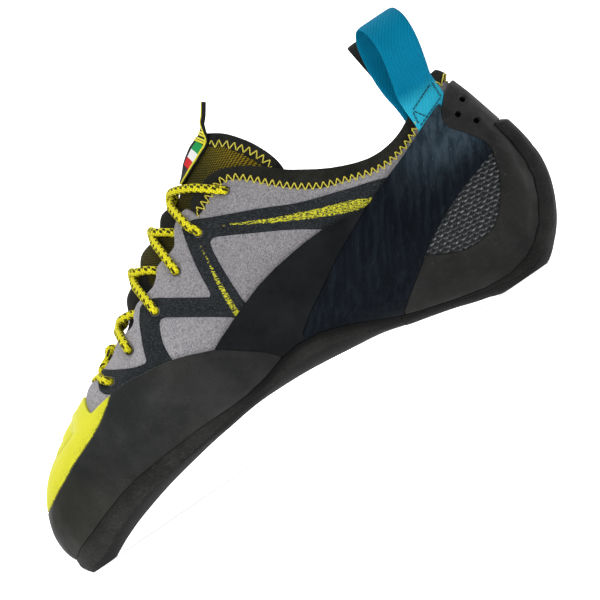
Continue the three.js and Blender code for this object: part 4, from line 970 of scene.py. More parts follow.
M = {
    "suede": suede_look(),
    "microfibre": microfibre_look(),
    "lining": cloth_look("lining", (0.014, 0.014, 0.015), (0.026, 0.026, 0.027), 1.1, 0.95),
    "trim": cloth_look("collar_trim", (0.0140, 0.0140, 0.0118), (0.0270, 0.0265, 0.0222), 0.6, 0.9, 0.10),
    "board": cloth_look("sock_liner", (0.050, 0.048, 0.046), (0.085, 0.082, 0.078), 1.3, 0.95),
    "rand": rubber_look("rand_rubber", (0.0120, 0.0130, 0.0128), (0.0258, 0.0264, 0.0250), (0.0260, 0.0245, 0.0165), dark_along_x=(-55, -12, 0.45)).m,
    "cup": rubber_look("cup_rubber", (0.0075, 0.0076, 0.0074), (0.0245, 0.0247, 0.0240), (0.0205, 0.0185, 0.0155), brown=0.4, dusty=0.62, under=(16, 44, 0.42)).m,
    "arch": rubber_look("arch_rubber", (0.0030, 0.0036, 0.0044), (0.0085, 0.0093, 0.0104), (0.0075, 0.0075, 0.0066), (0.42, 0.6), spec=0.08, dusty=0.12).m,
    "sole": outsole_look(),
    "toe": toe_look(),
    "band": band_look(),
    "grip": grip_look(),
    "mesh": mesh_look(),
    "tongue_black": cloth_look("tongue_black", (0.0125, 0.0125, 0.0108), (0.0240, 0.0237, 0.0205), 0.8, 0.88, 0.12),
    "lace": lace_look(),
    "thread": thread_look("seam_thread", (0.34, 0.26, 0.010), (0.85, 0.76, 0.100)),
    "piping": thread_look("ribbon_piping", (0.58, 0.52, 0.012), (0.84, 0.78, 0.030)),
    "stitch": thread_look("pale_stitch", (0.030, 0.034, 0.036), (0.085, 0.092, 0.095)),
    "black_thread": thread_look("black_stitch", (0.004, 0.005, 0.006), (0.016, 0.018, 0.020)),
    # the last colour of the blue webbing is its painted highlight at the foot
    "blue": webbing_look("blue_webbing", (0.0002, 0.122, 0.215), (0.0006, 0.325, 0.560), (0.060, 0.76, 1.0)),
    "black_web": webbing_look("black_webbing", (0.005, 0.005, 0.005), (0.048, 0.048, 0.046)),
    "ribbon": ribbon_look(),
    "rim": cloth_look("eyelet_rim", (0.12, 0.11, 0.10), (0.20, 0.19, 0.175), 0.6),
}

# ------------------------------------------------------------------ pieces
form = build_form()
X = lambda A: A[:, 0]
Z = lambda A: A[:, 2]
half = 0.04
INSOLE_HALF = [
    [12, -6], [16, 4], [22, 12], [34, 21], [48, 27], [63, 30], [79, 29.5], [96, 26], [113, 22], [130, 18.5], [147, 17.5], [163, 18],
    [178, 19], [193, 20], [207, 19.5], [217, 16.5], [223, 11], [227, 4], [230, -6],
]
f_board = lambda A: np.where(Z(A) < 45, height_of(INSOLE_HALF, X(A)) - A[:, 6], -20)
f_soles = lambda A: inside(SOLES, X(A), Z(A))
f_rand = lambda A: below(RAND_EDGE, X(A), Z(A))
ROUND = {k: rounded(v, 2, True) for k, v in OVERLAYS.items()}
f_cup = lambda A: inside(rounded(HEEL_CUP, 1, True), X(A), Z(A))
f_band = lambda A: inside(rounded(TENSION_BAND, 1, True), X(A), Z(A))
f_toe = lambda A: inside(rounded(TOE_EDGE, 1, True), X(A), Z(A))
f_arch = lambda A: inside(ARCH_PIECE, X(A), Z(A))
f_patch = lambda A: inside(HEEL_PATCH, X(A), Z(A))
FLAP_S, TRIM_S, ZIG_S = rounded(FLAP, 1), rounded(TRIM_TOP, 1), rounded(ZIG, 1)


def f_eyelets(r):
    def f(A):
        d = np.min([np.hypot(X(A) - x, Z(A) - z) for x, z in EYELETS], 0) - r
        return np.where(np.abs(A[:, 1] - 2) > 3, d, 20)
    return f


def round_edge(d, thick, r):
    """how a skin's face falls away at its edge"""
    s = np.clip(1 - d / r, 0, 1)
    return thick * (1 - np.sqrt(np.clip(1 - s**2, 0, 1)))


def skin_piece(name, mesh, edge_field, mats, replaces, r=0.45, drop=0.3, top=SKIN, base=GAP - 0.25, extra=None, attrs=None):
    """a rubber skin with rounded edges"""
    mesh = crease(mesh, edge_field, 0.12 * r, 0.45 * r, r)
    A, F = mesh
    d = np.maximum(edge_field(A), 0)
    o = top - round_edge(d, drop, r)
    if extra is not None:
        o = o + extra(A)
    V, F2, kind = shell((A, F), o, base)
    at = {k: np.tile(f(A), 2) for k, f in (attrs or {}).items()}
    return make(name, V, F2, mats, attrs=at, replaces=replaces)


# ---- upper: suede outside, lining inside, scalloped along the throat
def tip_lip(A):
    return 2.0 * np.exp(-(((X(A) - 48.8) / 4.4) ** 2)) * smooth(Z(A), 55, 61)


def creases(A):
    """soft troughs and ridges in the suede, listed in side view"""
    x, y, z = A[:, 0], A[:, 1], A[:, 2]
    h = np.zeros(len(A))
    lateral = y < 3
    for pts, width, depth, which in (
        ([[76, 58], [80, 63], [84, 70]], 3.2, -0.30, 0),
        ([[92, 62], [98, 58], [104, 56]], 3.0, 0.25, 0),
        ([[127, 82], [136, 74], [143, 66]], 4.2, -0.40, 0),
        ([[134, 81], [146, 72], [155, 65]], 3.6, 0.30, 0),
        ([[150, 92], [160, 86], [172, 78]], 2.6, -0.35, 0),
        ([[128, 100], [133, 95], [140, 92]], 2.4, -0.30, 0),
        ([[60, 61], [66, 58], [74, 57]], 2.6, -0.25, 1),
        ([[84, 66], [92, 60], [98, 52]], 4.0, -0.45, 1),
        ([[98, 72], [106, 62], [110, 55]], 3.4, 0.35, 1),
        ([[126, 84], [134, 76], [140, 66]], 4.0, -0.45, 1),
        ([[146, 84], [156, 78], [168, 74]], 3.0, 0.30, 1),
    ):
        d = distance_to(pts, x, z)
        h += np.where(lateral == (which == 0), depth * np.exp(-((d / width) ** 2)), 0)
    for x0, z0 in EYELETS:
        r = np.hypot(x - x0, z - z0)
        h += -0.55 * np.exp(-((r / 3.0) ** 2)) + 0.18 * np.exp(-(((r - 5.5) / 2.0) ** 2))
    # the flap's edge curls up a little
    e = below(FLAP_S, x, z)
    h += 0.35 * np.exp(-((np.maximum(e, 0) / 2.5) ** 2)) * (x < 124) * (x > 56)
    return h * smooth(A[:, 2], 22, 34)


f_open = lambda A: below(FLAP_S, X(A), Z(A))
upper = keep(form, lambda A: -f_board(A), half)
upper = keep(upper, f_open)
upper = keep(upper, f_eyelets(1.75))
upper = crease(upper, f_open, 0.35, 0.9)
A, F = upper
out = creases(A) + tip_lip(A) - round_edge(np.maximum(f_open(A), 0), 0.5, 0.9)
V, F2, kind = shell(upper, out, -WALL + 0.0, rings=2, bulge=0.18)
make("upper_suede", V, F2, [M["suede"], M["lining"]], np.where(kind == 1, 1, 0), replaces=["upper"])

# ---- overlays
tri_x = np.concatenate([np.array(s)[:, 0] for s in STREAKS])


def streak_depth(x, z):
    best = np.full(np.shape(x), -9.0)
    for s in STREAKS:
        s = np.array(s)
        for (ax, az, aw), (bx, bz, bw) in zip(s[:-1], s[1:]):
            t = np.clip(((x - ax) * (bx - ax) + (z - az) * (bz - az)) / ((bx - ax) ** 2 + (bz - az) ** 2), 0, 1)
            d = np.hypot(x - ax - t * (bx - ax), z - az - t * (bz - az))
            best = np.maximum(best, (aw + (bw - aw) * t) / 2 - d)
    return best


above_rubber = lambda A: np.minimum.reduce([
    -f_soles(A) + 2.5, -f_rand(A) + 2.0, -np.minimum(f_arch(A), 99) + 2.0, -f_band(A) + 2.0])
for name, outline in ROUND.items():
    field = lambda A, o=outline: inside(o, X(A), Z(A))
    piece = keep(form, field)
    piece = keep(piece, above_rubber)
    piece = keep(piece, lambda A: below(FLAP_S, X(A), Z(A)) - 0.15)
    piece = keep(piece, f_eyelets(1.95))
    piece = finer(piece)
    piece = crease(piece, field, 0.12, 0.4)
    for side, word in ((-1, "lateral"), (1, "medial")):
        part = compact(piece[0], piece[1][(side * (piece[0][piece[1]][:, :, 1].mean(1) - 3)) > 0])
        A = part[0]
        o = 0.52 + creases(A) + tip_lip(A) - round_edge(np.maximum(field(A), 0), 0.34, 0.4)
        V, F2, kind = shell(part, o, -0.4)
        st = streak_depth(X(A), Z(A))
        make(f"overlay_{word}", V, F2, M["microfibre"], attrs={"streak": np.tile(st, 2)})

# ---- insole, lying on the outsole
piece = keep(form, f_board, half)
A = piece[0]
V, F2, kind = shell(piece, np.zeros(len(A)), -WALL - 0.25 * (1 - round_edge(np.maximum(f_board(A), 0), 1, 2.5)), rings=2, bulge=0.12)
make("insole_board", V, F2, M["board"], replaces=["insole"])


# ---- soles
def sole_offset(A, under, edge, rnd):
    n = unit(A[:, 3:6])
    down = np.maximum(0, -n[:, 2])
    out = np.sqrt(np.maximum(0, 1 - down * down))
    return under * down + edge * out + rnd * (down + out - 1)


ramp = lambda x, x0, x1, a, b: a + (b - a) * smooth(x, x0, x1)


def outsole_outer(A):
    x = X(A)
    toe = ramp(x, 4, 9.5, 3.4, 5.6)
    thick = np.where(x < 60, np.minimum(toe, ramp(x, 14, 36, 5.6, 4.5)), ramp(x, 84, 112, 4.5, 3.3))
    thick = thick - 0.5 * smooth(x, 150, 172)
    edge = np.where(x < 60, ramp(x, 8, 36, 1.9, 2.5), ramp(x, 90, 125, 2.5, 2.0))
    return sole_offset(A, thick, edge, np.where(x < 60, ramp(x, 6, 40, 0.2, 2.6), ramp(x, 90, 125, 2.6, 1.0)))


def heel_outer(A):
    x = X(A)
    thick = np.where(x < 220, ramp(x, 185, 214, 2.8, 4.0), ramp(x, 234, 250, 4.0, 4.4))
    return sole_offset(A, thick, ramp(x, 226, 246, 2.3, 4.4), ramp(x, 226, 242, 1.4, 0))


def sole_piece(name, mesh, outer, edge_field, node):
    mesh = crease(mesh, edge_field, 0.1, 0.3, 0.7)
    A, F = mesh
    d = np.maximum(edge_field(A), 0)
    full = outer(A)
    near = SKIN + 0.35 + 0.35 * smooth(X(A), 225, 240)
    brim = np.maximum(f_soles(A) - half, 0)
    o = np.where(full > near, near + (full - near) * smooth(brim, 0.0, 2.6), full) - round_edge(brim, 0.4, 0.7) - 0.25 * round_edge(d, 0.4, 0.7)
    V, F2, kind = shell(mesh, o, GAP - 0.25)
    V[:, 2] = np.maximum(V[:, 2], 0)
    n = vertex_normals(V, F2)
    # faces turned to the floor get rise -3, so the painted shade of the lowest band covers the underside
    rise = V[:, 2] - height_of(BOTTOM, V[:, 0]) + np.where(n[:, 2] < -0.8, -3.0, 0.0)
    # the seam between the sole's two layers, a fine groove near its lower edge
    groove = np.exp(-(((rise - 2.3) / 0.35) ** 2)) * np.clip(1 - np.abs(n[:, 2]) * 1.2, 0, 1) * (kind_of(kind, F2, len(V)) == 0)
    V = V - n * (groove * 0.18)[:, None]
    make(name, V, F2, M["sole"], attrs={"rise": rise, "brim": np.tile(brim, 2)}, replaces=[node])


def kind_of(kind, F, n):
    out = np.zeros(n, int)
    out[F[kind == 1].ravel()] = 1
    return out


under = keep(form, f_soles, half)
sole_edge = lambda A: np.minimum(f_soles(A) - half, SOLE_SPLIT - half - X(A))
heel_edge = lambda A: np.minimum(f_soles(A) - half, X(A) - SOLE_SPLIT - half)
sole_piece("outsole_rubber", keep(under, lambda A: SOLE_SPLIT - half - X(A)), outsole_outer, sole_edge, "outsole")
sole_piece("heel_sole_rubber", keep(under, lambda A: X(A) - SOLE_SPLIT - half), heel_outer, heel_edge, "heel_sole")

# ---- rubber skins
over = keep(form, lambda A: -f_soles(A), half)
cup_edge = lambda A: np.minimum(f_cup(A), -f_soles(A)) - half
holes = lambda A: np.min([np.hypot(X(A) - x, Z(A) - z) for x, z in HOLES], 0) - 1.35
cup = keep(keep(over, f_cup, half), holes)
cup_all = lambda A: np.minimum(cup_edge(A), holes(A))
STRIP = [[214, 4], [224, 5], [233.2, 9.3], [239.3, 13.9], [246.5, 22.6], [250, 30], [251.6, 36.9], [252.6, 47.1], [252.1, 55.8]]


def cup_relief(A):
    x, y, z = A[:, 0], A[:, 1], A[:, 2]
    h = -0.45 * np.exp(-((distance_to([[246, 64], [249, 50], [248, 38], [243, 25], [236, 16]], x, z) / 1.6) ** 2))
    h += 0.35 * np.exp(-((distance_to([[236, 78], [239.5, 70], [243, 60], [244, 50], [242, 40]], x, z) / 3.5) ** 2))
    return h


skin_piece("heel_cup_rubber", cup, cup_all, M["cup"], ["heel_cup"], r=0.6, drop=0.45, top=SKIN + 0.25, extra=cup_relief)

beside_cup = keep(over, lambda A: -f_cup(A), half)
band_edge = lambda A: np.minimum.reduce([f_band(A), -f_cup(A), -f_soles(A)]) - half
bands = keep(beside_cup, f_band, half)
beside_band = keep(beside_cup, lambda A: -f_band(A), half)
rand_edge = lambda A: np.minimum.reduce([f_rand(A), -f_cup(A), -f_soles(A), -f_band(A)]) - half
rand = keep(beside_band, f_rand, half)


def rand_relief(A):
    x, z = X(A), Z(A)
    h = 0.10 * np.sin(x / 9.0) * np.sin(z / 7.0 + x / 23.0)
    # a fold where the rand runs under the arch rubber
    h += -0.30 * np.exp(-((distance_to([[98, 46], [104, 42.5], [110, 38], [116, 32.5]], x, z) / 0.9) ** 2))
    h += 0.18 * np.exp(-((distance_to([[96, 44], [102, 40.5], [108, 36], [113, 31]], x, z) / 1.8) ** 2))
    return h


skin_piece("rand_rubber", rand, rand_edge, M["rand"], ["rand"], r=0.45, drop=0.3, extra=rand_relief)

beside_rand = keep(beside_band, lambda A: -f_rand(A), half)
toe = keep(beside_rand, f_toe)
V_LINE = [[9.4, 40.4], [15, 43.9], [19.6, 46.7], [24.5, 48.8], [30.2, 50.8], [33.4, 52.4]]
V_ARM = [[33.4, 52.4], [34.8, 55], [36.2, 57.6], [37.6, 60.6]]
toe = finer(toe)
toe_low = lambda A: -f_rand(A)
toe_rim = lambda A: np.minimum(f_toe(A), toe_low(A) - half + 0.02)


def toe_up(A):
    """positive on the ridge's side of the moulded lines"""
    x, z = X(A), Z(A)
    field = np.minimum(z - height_of(V_LINE + [[60, 62]], x), (height_of([[50, 33.2], [52.4, 33.4], [55, 34.8], [57.6, 36.2], [62, 38.4], [80, 40]], z) - x) * 0.9)
    return field


toe = crease(toe, toe_up, 0.0, 0.5)
toe = crease(toe, lambda A: distance_to(V_ARM, X(A), Z(A)), 0.8, 1.4)


def toe_relief(A):
    x, y, z = A[:, 0], A[:, 1], A[:, 2]
    h = -0.42 * smooth(toe_up(A), 0.0, 0.5)
    h += 0.30 * (1 - smooth(distance_to(V_ARM, x, z), 0.7, 1.5))
    # low steps across the ridge, each plate rising towards the foot
    near = smooth(toe_up(A), 0.2, 1.2)
    for x0, up in ((19.3, 0.42), (27.0, 0.40), (38.4, 0.36)):
        h += near * up * smooth(x, x0 - 0.25, x0 + 0.25) * (1 - smooth(x, x0 + 2.5, x0 + 7.5))
    # the lower edge is buffed thin
    h -= 0.25 * np.exp(-np.maximum(toe_low(A), 0) / 1.2)
    return h


for x0 in (19.3, 27.0, 38.4):
    toe = crease(toe, lambda A, x0=x0: X(A) - x0, -0.25, 0.25)
# the last two masks place painted shade along the moulded steps and a painted highlight along the V arm
skin_piece("toe_patch_rubber", toe, toe_rim, M["toe"], ["toe_patch"], r=0.5, drop=0.45, extra=toe_relief,
           attrs={"low": toe_low, "relief": lambda A: np.clip(1 - np.abs(toe_up(A)) / 0.7, 0, 1),
                  "toe_highlight": lambda A: np.exp(-((distance_to(V_ARM + [[38.6, 63]], X(A), Z(A)) / 1.3) ** 2)) * 0.9 + 0.45 * np.exp(-(((toe_up(A) + 1.1) / 0.6) ** 2))})

for side, word in ((-1, "lateral"), (1, "medial")):
    one = lambda mesh: keep(mesh, lambda A: side * A[:, 1] - 1)
    arch_edge = lambda A: np.minimum.reduce([f_arch(A), -f_band(A) - half, -f_rand(A) - half, -f_soles(A) - half])
    piece = one(keep(beside_rand, f_arch))
    skin_piece(f"arch_rubber_{word[:3]}", piece, arch_edge, M["arch"], [f"arch_rubber_{word}"], r=0.4, drop=0.3)
    # painted highlight mask for the band, lighter toward the heel and the top
    glow = lambda A: np.clip(smooth(X(A), 196, 238) * smooth(Z(A) - (44 + (X(A) - 200) * 0.1), 0, 22) + 0.25 * smooth(X(A), 190, 215) * smooth(Z(A), 52, 62), 0, 1)
    skin_piece(f"tension_band_{word[:3]}", one(bands), band_edge, M["band"], [f"tension_band_{word}"], r=0.4, drop=0.25, top=SKIN + 0.12,
               attrs={"glow": glow})


# ---- gripping patch on the heel: rows of scales, on its own fine grid
def scale_height(x, z):
    """rows of overlapping scales, each with its free edge to the ground"""
    a = math.radians(-9)
    rim = np.zeros(np.shape(x))
    u = (x * math.cos(a) + z * math.sin(a)) / 3.3
    v = (-x * math.sin(a) + z * math.cos(a)) / 1.75
    row = np.floor(v)
    h = np.zeros(np.shape(x))
    for dr in (0, 1):
        r = row + dr
        shift = 0.5 * (r % 2) + 0.18 * np.sin(r * 12.9898)
        fu = (u + shift) - np.floor(u + shift) - 0.5
        bow = 0.42 * (1 - (fu * 2) ** 2)  # the free edge hangs lowest at a scale's middle
        drop = v - (r - bow)  # from 0 at its free edge, up
        new = np.where(drop > 0, np.clip(1 - 0.62 * drop, 0, 1) * np.clip(drop / 0.10, 0, 1) * (1 - 0.25 * np.abs(fu * 2) ** 3), 0)
        # lip: the mask for the painted highlight just above each scale's free edge
        lip = np.exp(-(((drop - 0.13) / 0.10) ** 2)) * np.clip(1.15 - np.abs(fu * 2), 0, 1)
        rim = np.where(new > h, lip, rim)
        h = np.maximum(h, new)
    return h, rim


def side_grid(x0, x1, z0, z1, step, side):
    xs, zs = np.arange(x0, x1, step), np.arange(z0, z1, step)
    gx, gz = np.meshgrid(xs, zs)
    nx = len(xs)
    P = on_side(gx.ravel(), gz.ravel(), side)
    E = on_side(gx.ravel(), gz.ravel(), side, 1.0)
    i = (np.arange(len(zs) - 1)[:, None] * nx + np.arange(nx - 1)[None]).ravel()
    a, b, c, d = i, i + 1, i + nx + 1, i + nx
    F = np.vstack([np.stack([a, b, c], 1), np.stack([a, c, d], 1)])
    if side > 0:
        F = F[:, ::-1]
    return np.hstack([P, E - P, np.zeros((len(P), 1))]), F


for side, word in ((-1, "lateral"), (1, "medial")):
    grid = side_grid(191, 243, 21, 53, 0.42, side)
    patch_edge = lambda A: np.minimum.reduce([-f_cup(A), -f_band(A), f_patch(A)]) + 0.4
    grid = keep(grid, patch_edge)
    A = grid[0]
    s, rim = scale_height(X(A), Z(A))
    V, F2, kind = shell(grid, 0.75 + 0.62 * s, 0.1)
    make(f"heel_grip_{word[:3]}", V, F2, M["grip"], attrs={"scale": np.tile(s, 2), "lip_highlight": np.tile(rim, 2)}, replaces=[f"heel_patch_{word}"])

# ---- padded collar
f_trim = lambda A: np.minimum.reduce([below(TRIM_S, X(A), Z(A)) - 1.25, X(A) - 125.6])
trim = keep(form, f_trim)
trim = keep(trim, lambda A: 17 - below(TRIM_S, X(A), Z(A)))


def trim_out(A):
    x, z = X(A), Z(A)
    s = z - height_of(ZIG_S, x)
    h = np.where(s > 0, 0.35 + 0.75 * np.sqrt(np.clip(s / 3.2, 0, 1)), -0.9 + 1.25 * smooth(s, -0.9, 0.0))
    # soft folds where the padding turns at the instep
    for pts, w, depth in (
        ([[146, 110], [148.5, 106.5], [150, 103]], 0.9, -0.45), ([[143, 110], [144.6, 107], [145.2, 105]], 0.9, 0.30),
        ([[150, 107], [152.5, 104], [154, 100.5]], 1.1, 0.28), ([[155, 104], [158, 100.4], [161, 95]], 1.3, -0.28),
        ([[170, 90], [176, 85.5], [184, 81]], 1.6, 0.20), ([[205, 76.4], [211, 76.8], [216, 78.6]], 1.2, -0.18),
    ):
        h += depth * np.exp(-((distance_to(pts, x, z) / w) ** 2)) * (s > 0)
    h += 1.9 * smooth(x, 238.5, 243.0) * (s > 0)
    flat = smooth(x, 218.6, 221) * (1 - smooth(x, 238.4, 239.6))
    return np.where(h > 0.1, h + (0.1 - h) * flat, h)


A = trim[0]
deep = below(TRIM_S, X(A), Z(A))
pad_in = -2.42 - 1.3 * smooth(X(A), 164, 178) * (1 - smooth(deep, 10, 17))
bulge = np.where(deep < 1.6, 1.25 + 0.35 * smooth(X(A), 164, 178), 0.1)
V, F2, kind = shell(trim, trim_out(A), pad_in, rings=7, bulge=bulge)
collar = make("collar_padding", V, F2, M["trim"])

# ---- tongue
tongue = keep(form, lambda A: inside(rounded(TONGUE_SHAPE, 2, True), X(A), Z(A)))
f_rim = lambda A: distance_to(rounded(TONGUE_RIM, 2), X(A), Z(A))
tongue = crease(tongue, f_rim, 0.4, 5.4)


def tongue_out(A):
    x, y, z = A[:, 0], A[:, 1], A[:, 2]
    h = np.full(len(A), -WALL - 0.35)
    r = f_rim(A)
    h += 0.55 * np.sqrt(np.clip(1 - (np.abs(r - 2.6) / 2.8) ** 2, 0, 1)) * (r < 5.4)
    ridge = np.exp(-((y - 2) / 15.0) ** 2)
    # the laces press it in, and it swells between them
    for x0, up in ((66.8, 0.9), (80.8, 1.5), (96.5, 0.9), (113.0, 1.5)):
        h += ridge * up * np.exp(-(((x - x0) / 3.4) ** 2))
    return h - press(A)


def press(A):
    x, y = A[:, 0], A[:, 1]
    ridge = np.exp(-((y - 2) / 15.0) ** 2)
    return ridge * sum(deep * np.exp(-(((x - x0) / 3.4) ** 2)) for x0, deep in ((60.9, 0.9), (73.7, 0.9), (88.9, 1.8), (105.4, 1.9), (121.0, 1.4)))


A = tongue[0]
V, F2, kind = shell(tongue, tongue_out(A), -WALL - GAP - TONGUE - press(A), rings=4, bulge=np.where(f_rim(A) < 1.0, 0.9, 0.1))
along = (X(A) * 0.72 + Z(A) * 0.69) + A[:, 1] * 0.12
tone = smooth(X(A) * 1.0 - Z(A) * 0.35, 92, 118) * 0.95
face_black = (f_rim(A) < 5.4) | (X(A) < 93) | ((X(A) > 110.5) & (X(A) < 118.5) & (Z(A) > 99))
black = face_black[np.minimum(F2 % len(A), len(A) - 1)].mean(1) > 0.5
is_top = kind == 0
n_extra = len(V) - 2 * len(A)
pad = lambda v: np.concatenate([v, v, np.resize(v[:1] if len(v) else [0], n_extra)])
make("tongue_body", V, F2, [M["mesh"], M["tongue_black"]], np.where(is_top & ~black, 0, 1),
     attrs={"map": np.stack([pad(along), pad(A[:, 1] * 1.05), np.zeros(len(V))], 1), "tone": pad(tone)},
     replaces=["tongue"])


# ---- seams: zigzag thread along collar and tongue
def zigzag(line, pitch, amp, side, lift, radius=0.28, start=0.0):
    p = curve(line, 0.25)
    run = np.append(0, np.cumsum(np.linalg.norm(np.diff(p, axis=0), axis=1)))
    t = unit(np.gradient(p, axis=0))
    n = np.stack([-t[:, 1], t[:, 0]], 1)
    s = np.arange(0, run[-1], pitch / 14)
    wave = np.arcsin(np.clip(np.sin(2 * np.pi * (s / pitch + start)), -0.985, 0.985)) / (np.pi / 2)
    cx, cz = (np.interp(s, run, p[:, k]) for k in range(2))
    nx, nz = (np.interp(s, run, n[:, k]) for k in range(2))
    x, z = cx + nx * wave * amp / 2, cz + nz * wave * amp / 2
    return tube(on_side(x, z, side, lift(x, z, wave)), radius, 6)


trim_lift = lambda x, z, w: 1.9 * smooth(x, 238.5, 243.0) * (z > height_of(ZIG_S, x)) + np.maximum(0.30, 0.24 + 0.35 + 0.75 * np.sqrt(np.clip((z - height_of(ZIG_S, x)) / 3.2, 0, 1))) * (z > height_of(ZIG_S, x)) + 0.30 * (z <= height_of(ZIG_S, x))
tongue_lift = lambda x, z, w: np.full(np.shape(x), -WALL - 0.35 + 0.62)
TONGUE_ZIG = [[145.9, 121.7], [147.8, 120.5], [150.6, 118.6], [153.4, 115.6], [156.2, 112.3], [158.6, 109], [160.5, 105.4], [161.8, 102], [162.6, 98.2]]
parts = []
for side in (-1, 1):
    front = [p for p in ZIG if 126 < p[0] < 132.6]
    parts.append(zigzag([[127.2, 99.6], *[p for p in ZIG if 128 < p[0] < 239.0], [239.6, 87.2], [243.4, 87.0]], 3.05, 2.9, side, trim_lift))
    parts.append(zigzag([[126.2, 97.6], [126.3, 99.2], [126.4, 100.8]], 3.0, 0.5, side, lambda x, z, w: np.full(np.shape(x), 0.45)))
    parts.append(zigzag(TONGUE_ZIG, 3.3, 3.2, side, tongue_lift))
V, F2, m = join(parts)
make("zigzag_seams", V, F2, M["thread"], attrs={"map": m})


def dashes(line, side, lift, length=1.25, pitch=2.0, radius=0.13):
    p = curve(line, 0.2)
    run = np.append(0, np.cumsum(np.linalg.norm(np.diff(p, axis=0), axis=1)))
    out = []
    for s0 in np.arange(0.4, run[-1] - length, pitch):
        s = s0 + np.linspace(0, length, 4)
        x, z = (np.interp(s, run, p[:, k]) for k in range(2))
        d = lift + np.array([-0.14, 0.08, 0.08, -0.14])
        out.append(tube(on_side(x, z, side, d), radius, 5))
    return join(out)


offset_line = lambda line, dz, dx=0.0: [[x + dx, z + dz] for x, z in line]
parts = []
for side in (-1, 1):
    parts.append(dashes(offset_line([p for p in RAND_EDGE if 57 <= p[0] <= 84.4], -0.25), side, 1.62, 1.7, 2.1, 0.10))
    parts.append(dashes(offset_line([[158, 64.2], [164.5, 64.4], [173, 63.8], [180, 62.9], [186, 61.9]], -0.2), side, 1.72, 0.9, 1.5, 0.08))
V, F2, m = join(parts)
make("edge_stitches", V, F2, M["stitch"], attrs={"map": m})


# ---- lace: one cord, from an eyelet at the top, down one side and up the other, crossing at each row
def lift_at(x, z):
    """the outside of what lies there"""
    on_band = any(float(inside(o, np.array(x), np.array(z))) > 0 for o in ROUND.values())
    return 0.5 if on_band else 0.0


def seen_at(x, z, side, d):
    """the point above the form whose side-view place is (x, z)"""
    bx, bz = x, z
    for _ in range(5):
        p = on_side(bx, bz, side, d)
        bx, bz = bx + (x - p[0]) * 0.8, bz + (z - p[2]) * 0.8
    return on_side(bx, bz, side, d)


# side-view places of the cord's centre: up from the eyelet to the ridge, and down from the ridge on the other side
UPWARD = {
    1: [[70.5, 72.6, 1.9], [70.7, 75.4, 1.6], [71.6, 78.0, 1.0]],
    2: [[88.4, 80.6, 2.0], [88.0, 85.3, 1.4], [87.8, 89.8, 0.2]],
    3: [[105.0, 89.6, 2.2], [104.7, 94.8, 1.2], [104.5, 99.8, -0.2]],
    4: [[120.2, 96.2, 2.2], [119.2, 100.9, 1.7], [118.6, 105.0, 0.6], [118.5, 107.9, -0.6]],
}
DOWNWARD = {
    1: [[76.0, 80.6, 0.6], [78.7, 80.3, -0.6], [80.9, 79.6, -2.0], [83.6, 78.6, -3.0]],
    2: [[91.2, 93.4, 0.2], [94.9, 91.9, -0.3], [98.0, 89.7, -1.5], [100.2, 88.0, -3.0]],
    3: [[107.2, 102.7, 0.2], [110.4, 100.5, -0.5], [113.3, 98.3, -1.7], [115.2, 96.4, -3.0]],
    4: [[123.6, 112.4, 1.2], [127.0, 111.0, 1.9], [131.2, 108.6, 2.7], [135.0, 105.6, 2.8], [138.2, 102.8, 2.3], [140.3, 101.1, 1.0],
        [141.2, 100.7, -1.2], [141.3, 100.5, -3.3]],
}
RIDGE = {0: (60.9, -1.5, 0.6), 1: (73.7, -1.4, 0.5), 2: (88.9, -2.5, -0.8), 3: (105.4, -2.6, -0.9), 4: (120.9, -2.1, 0.0)}


def strand(k, side):
    """waypoints from eyelet k on one side over to eyelet k + 1 on the other; the strands from the medial side lie on top"""
    (x0, z0), (x1, z1) = EYELETS[k], EYELETS[k + 1]
    P = seen_at
    rx, low, top = RIDGE[k]
    crown = [at_row(ridge_row(rx), 2, top if side > 0 else low)]
    if k == 0:
        return [P(x0, z0, side, -3.1), P(57.4, 65.4, side, -2.9), P(58.4, 68.0, side, -1.2), *crown,
                P(62.6, 71.6, -side, -0.6), P(64.9, 71.8, -side, -2.2), P(67.6, 70.6, -side, -3.0), P(x1 - 0.2, z1 + 0.2, -side, -2.9)]
    up = [P(x0, z0, side, -1.2), P(x0 - 0.1, z0 + 1.1, side, 1.2)]
    up += [P(x, z, side, d) for x, z, d in UPWARD[k]]
    down = [P(x, z, -side, d) for x, z, d in DOWNWARD[k]]
    if k < 4:
        down.append(P(x1 - 0.3, z1 + 0.3, -side, -2.9))
    return up + crown + down


bar_t = ridge_row(51.9)
x0, z0 = EYELETS[0]
bar_side = lambda s: [seen_at(x0, z0, s, -1.2), seen_at(x0 - 0.6, z0 + 0.6, s, 1.2), seen_at(x0 - 2.2, z0 + 2.2, s, 2.0),
                      seen_at(x0 - 3.3, z0 + 4.0, s, 1.5)]
bar = bar_side(-1) + [at_row(bar_t, 2, 1.0)] + bar_side(1)[::-1]
half_a = [w for k, s in ((0, 1), (1, -1), (2, 1), (3, -1), (4, 1)) for w in strand(k, s)]
half_b = [w for k, s in ((0, -1), (1, 1), (2, -1), (3, 1), (4, -1)) for w in strand(k, s)]
route = half_b[::-1] + bar + half_a
V, F2, m = tube(curve(route, 0.75), LACE_R, 12)
make("lace_cord", V, F2, M["lace"], attrs={"map": m},
     replaces=["lace_bar"] + [f"lace_cross_{k}" for k in range(1, 6)])

# eyelets: thin rims of worn backing round the punched holes
parts = []
for x, z in EYELETS:
    for side in (-1, 1):
        a = np.linspace(0, 2 * np.pi, 25)
        ring = on_side(x + 1.95 * np.cos(a), z + 1.95 * np.sin(a), side, lift_at(x, z + 2) * 0.5 + 0.02)
        parts.append(tube(ring, 0.22, 6, cap=False))
V, F2, m = join(parts)
make("eyelet_rims", V, F2, M["rim"], attrs={"map": m})

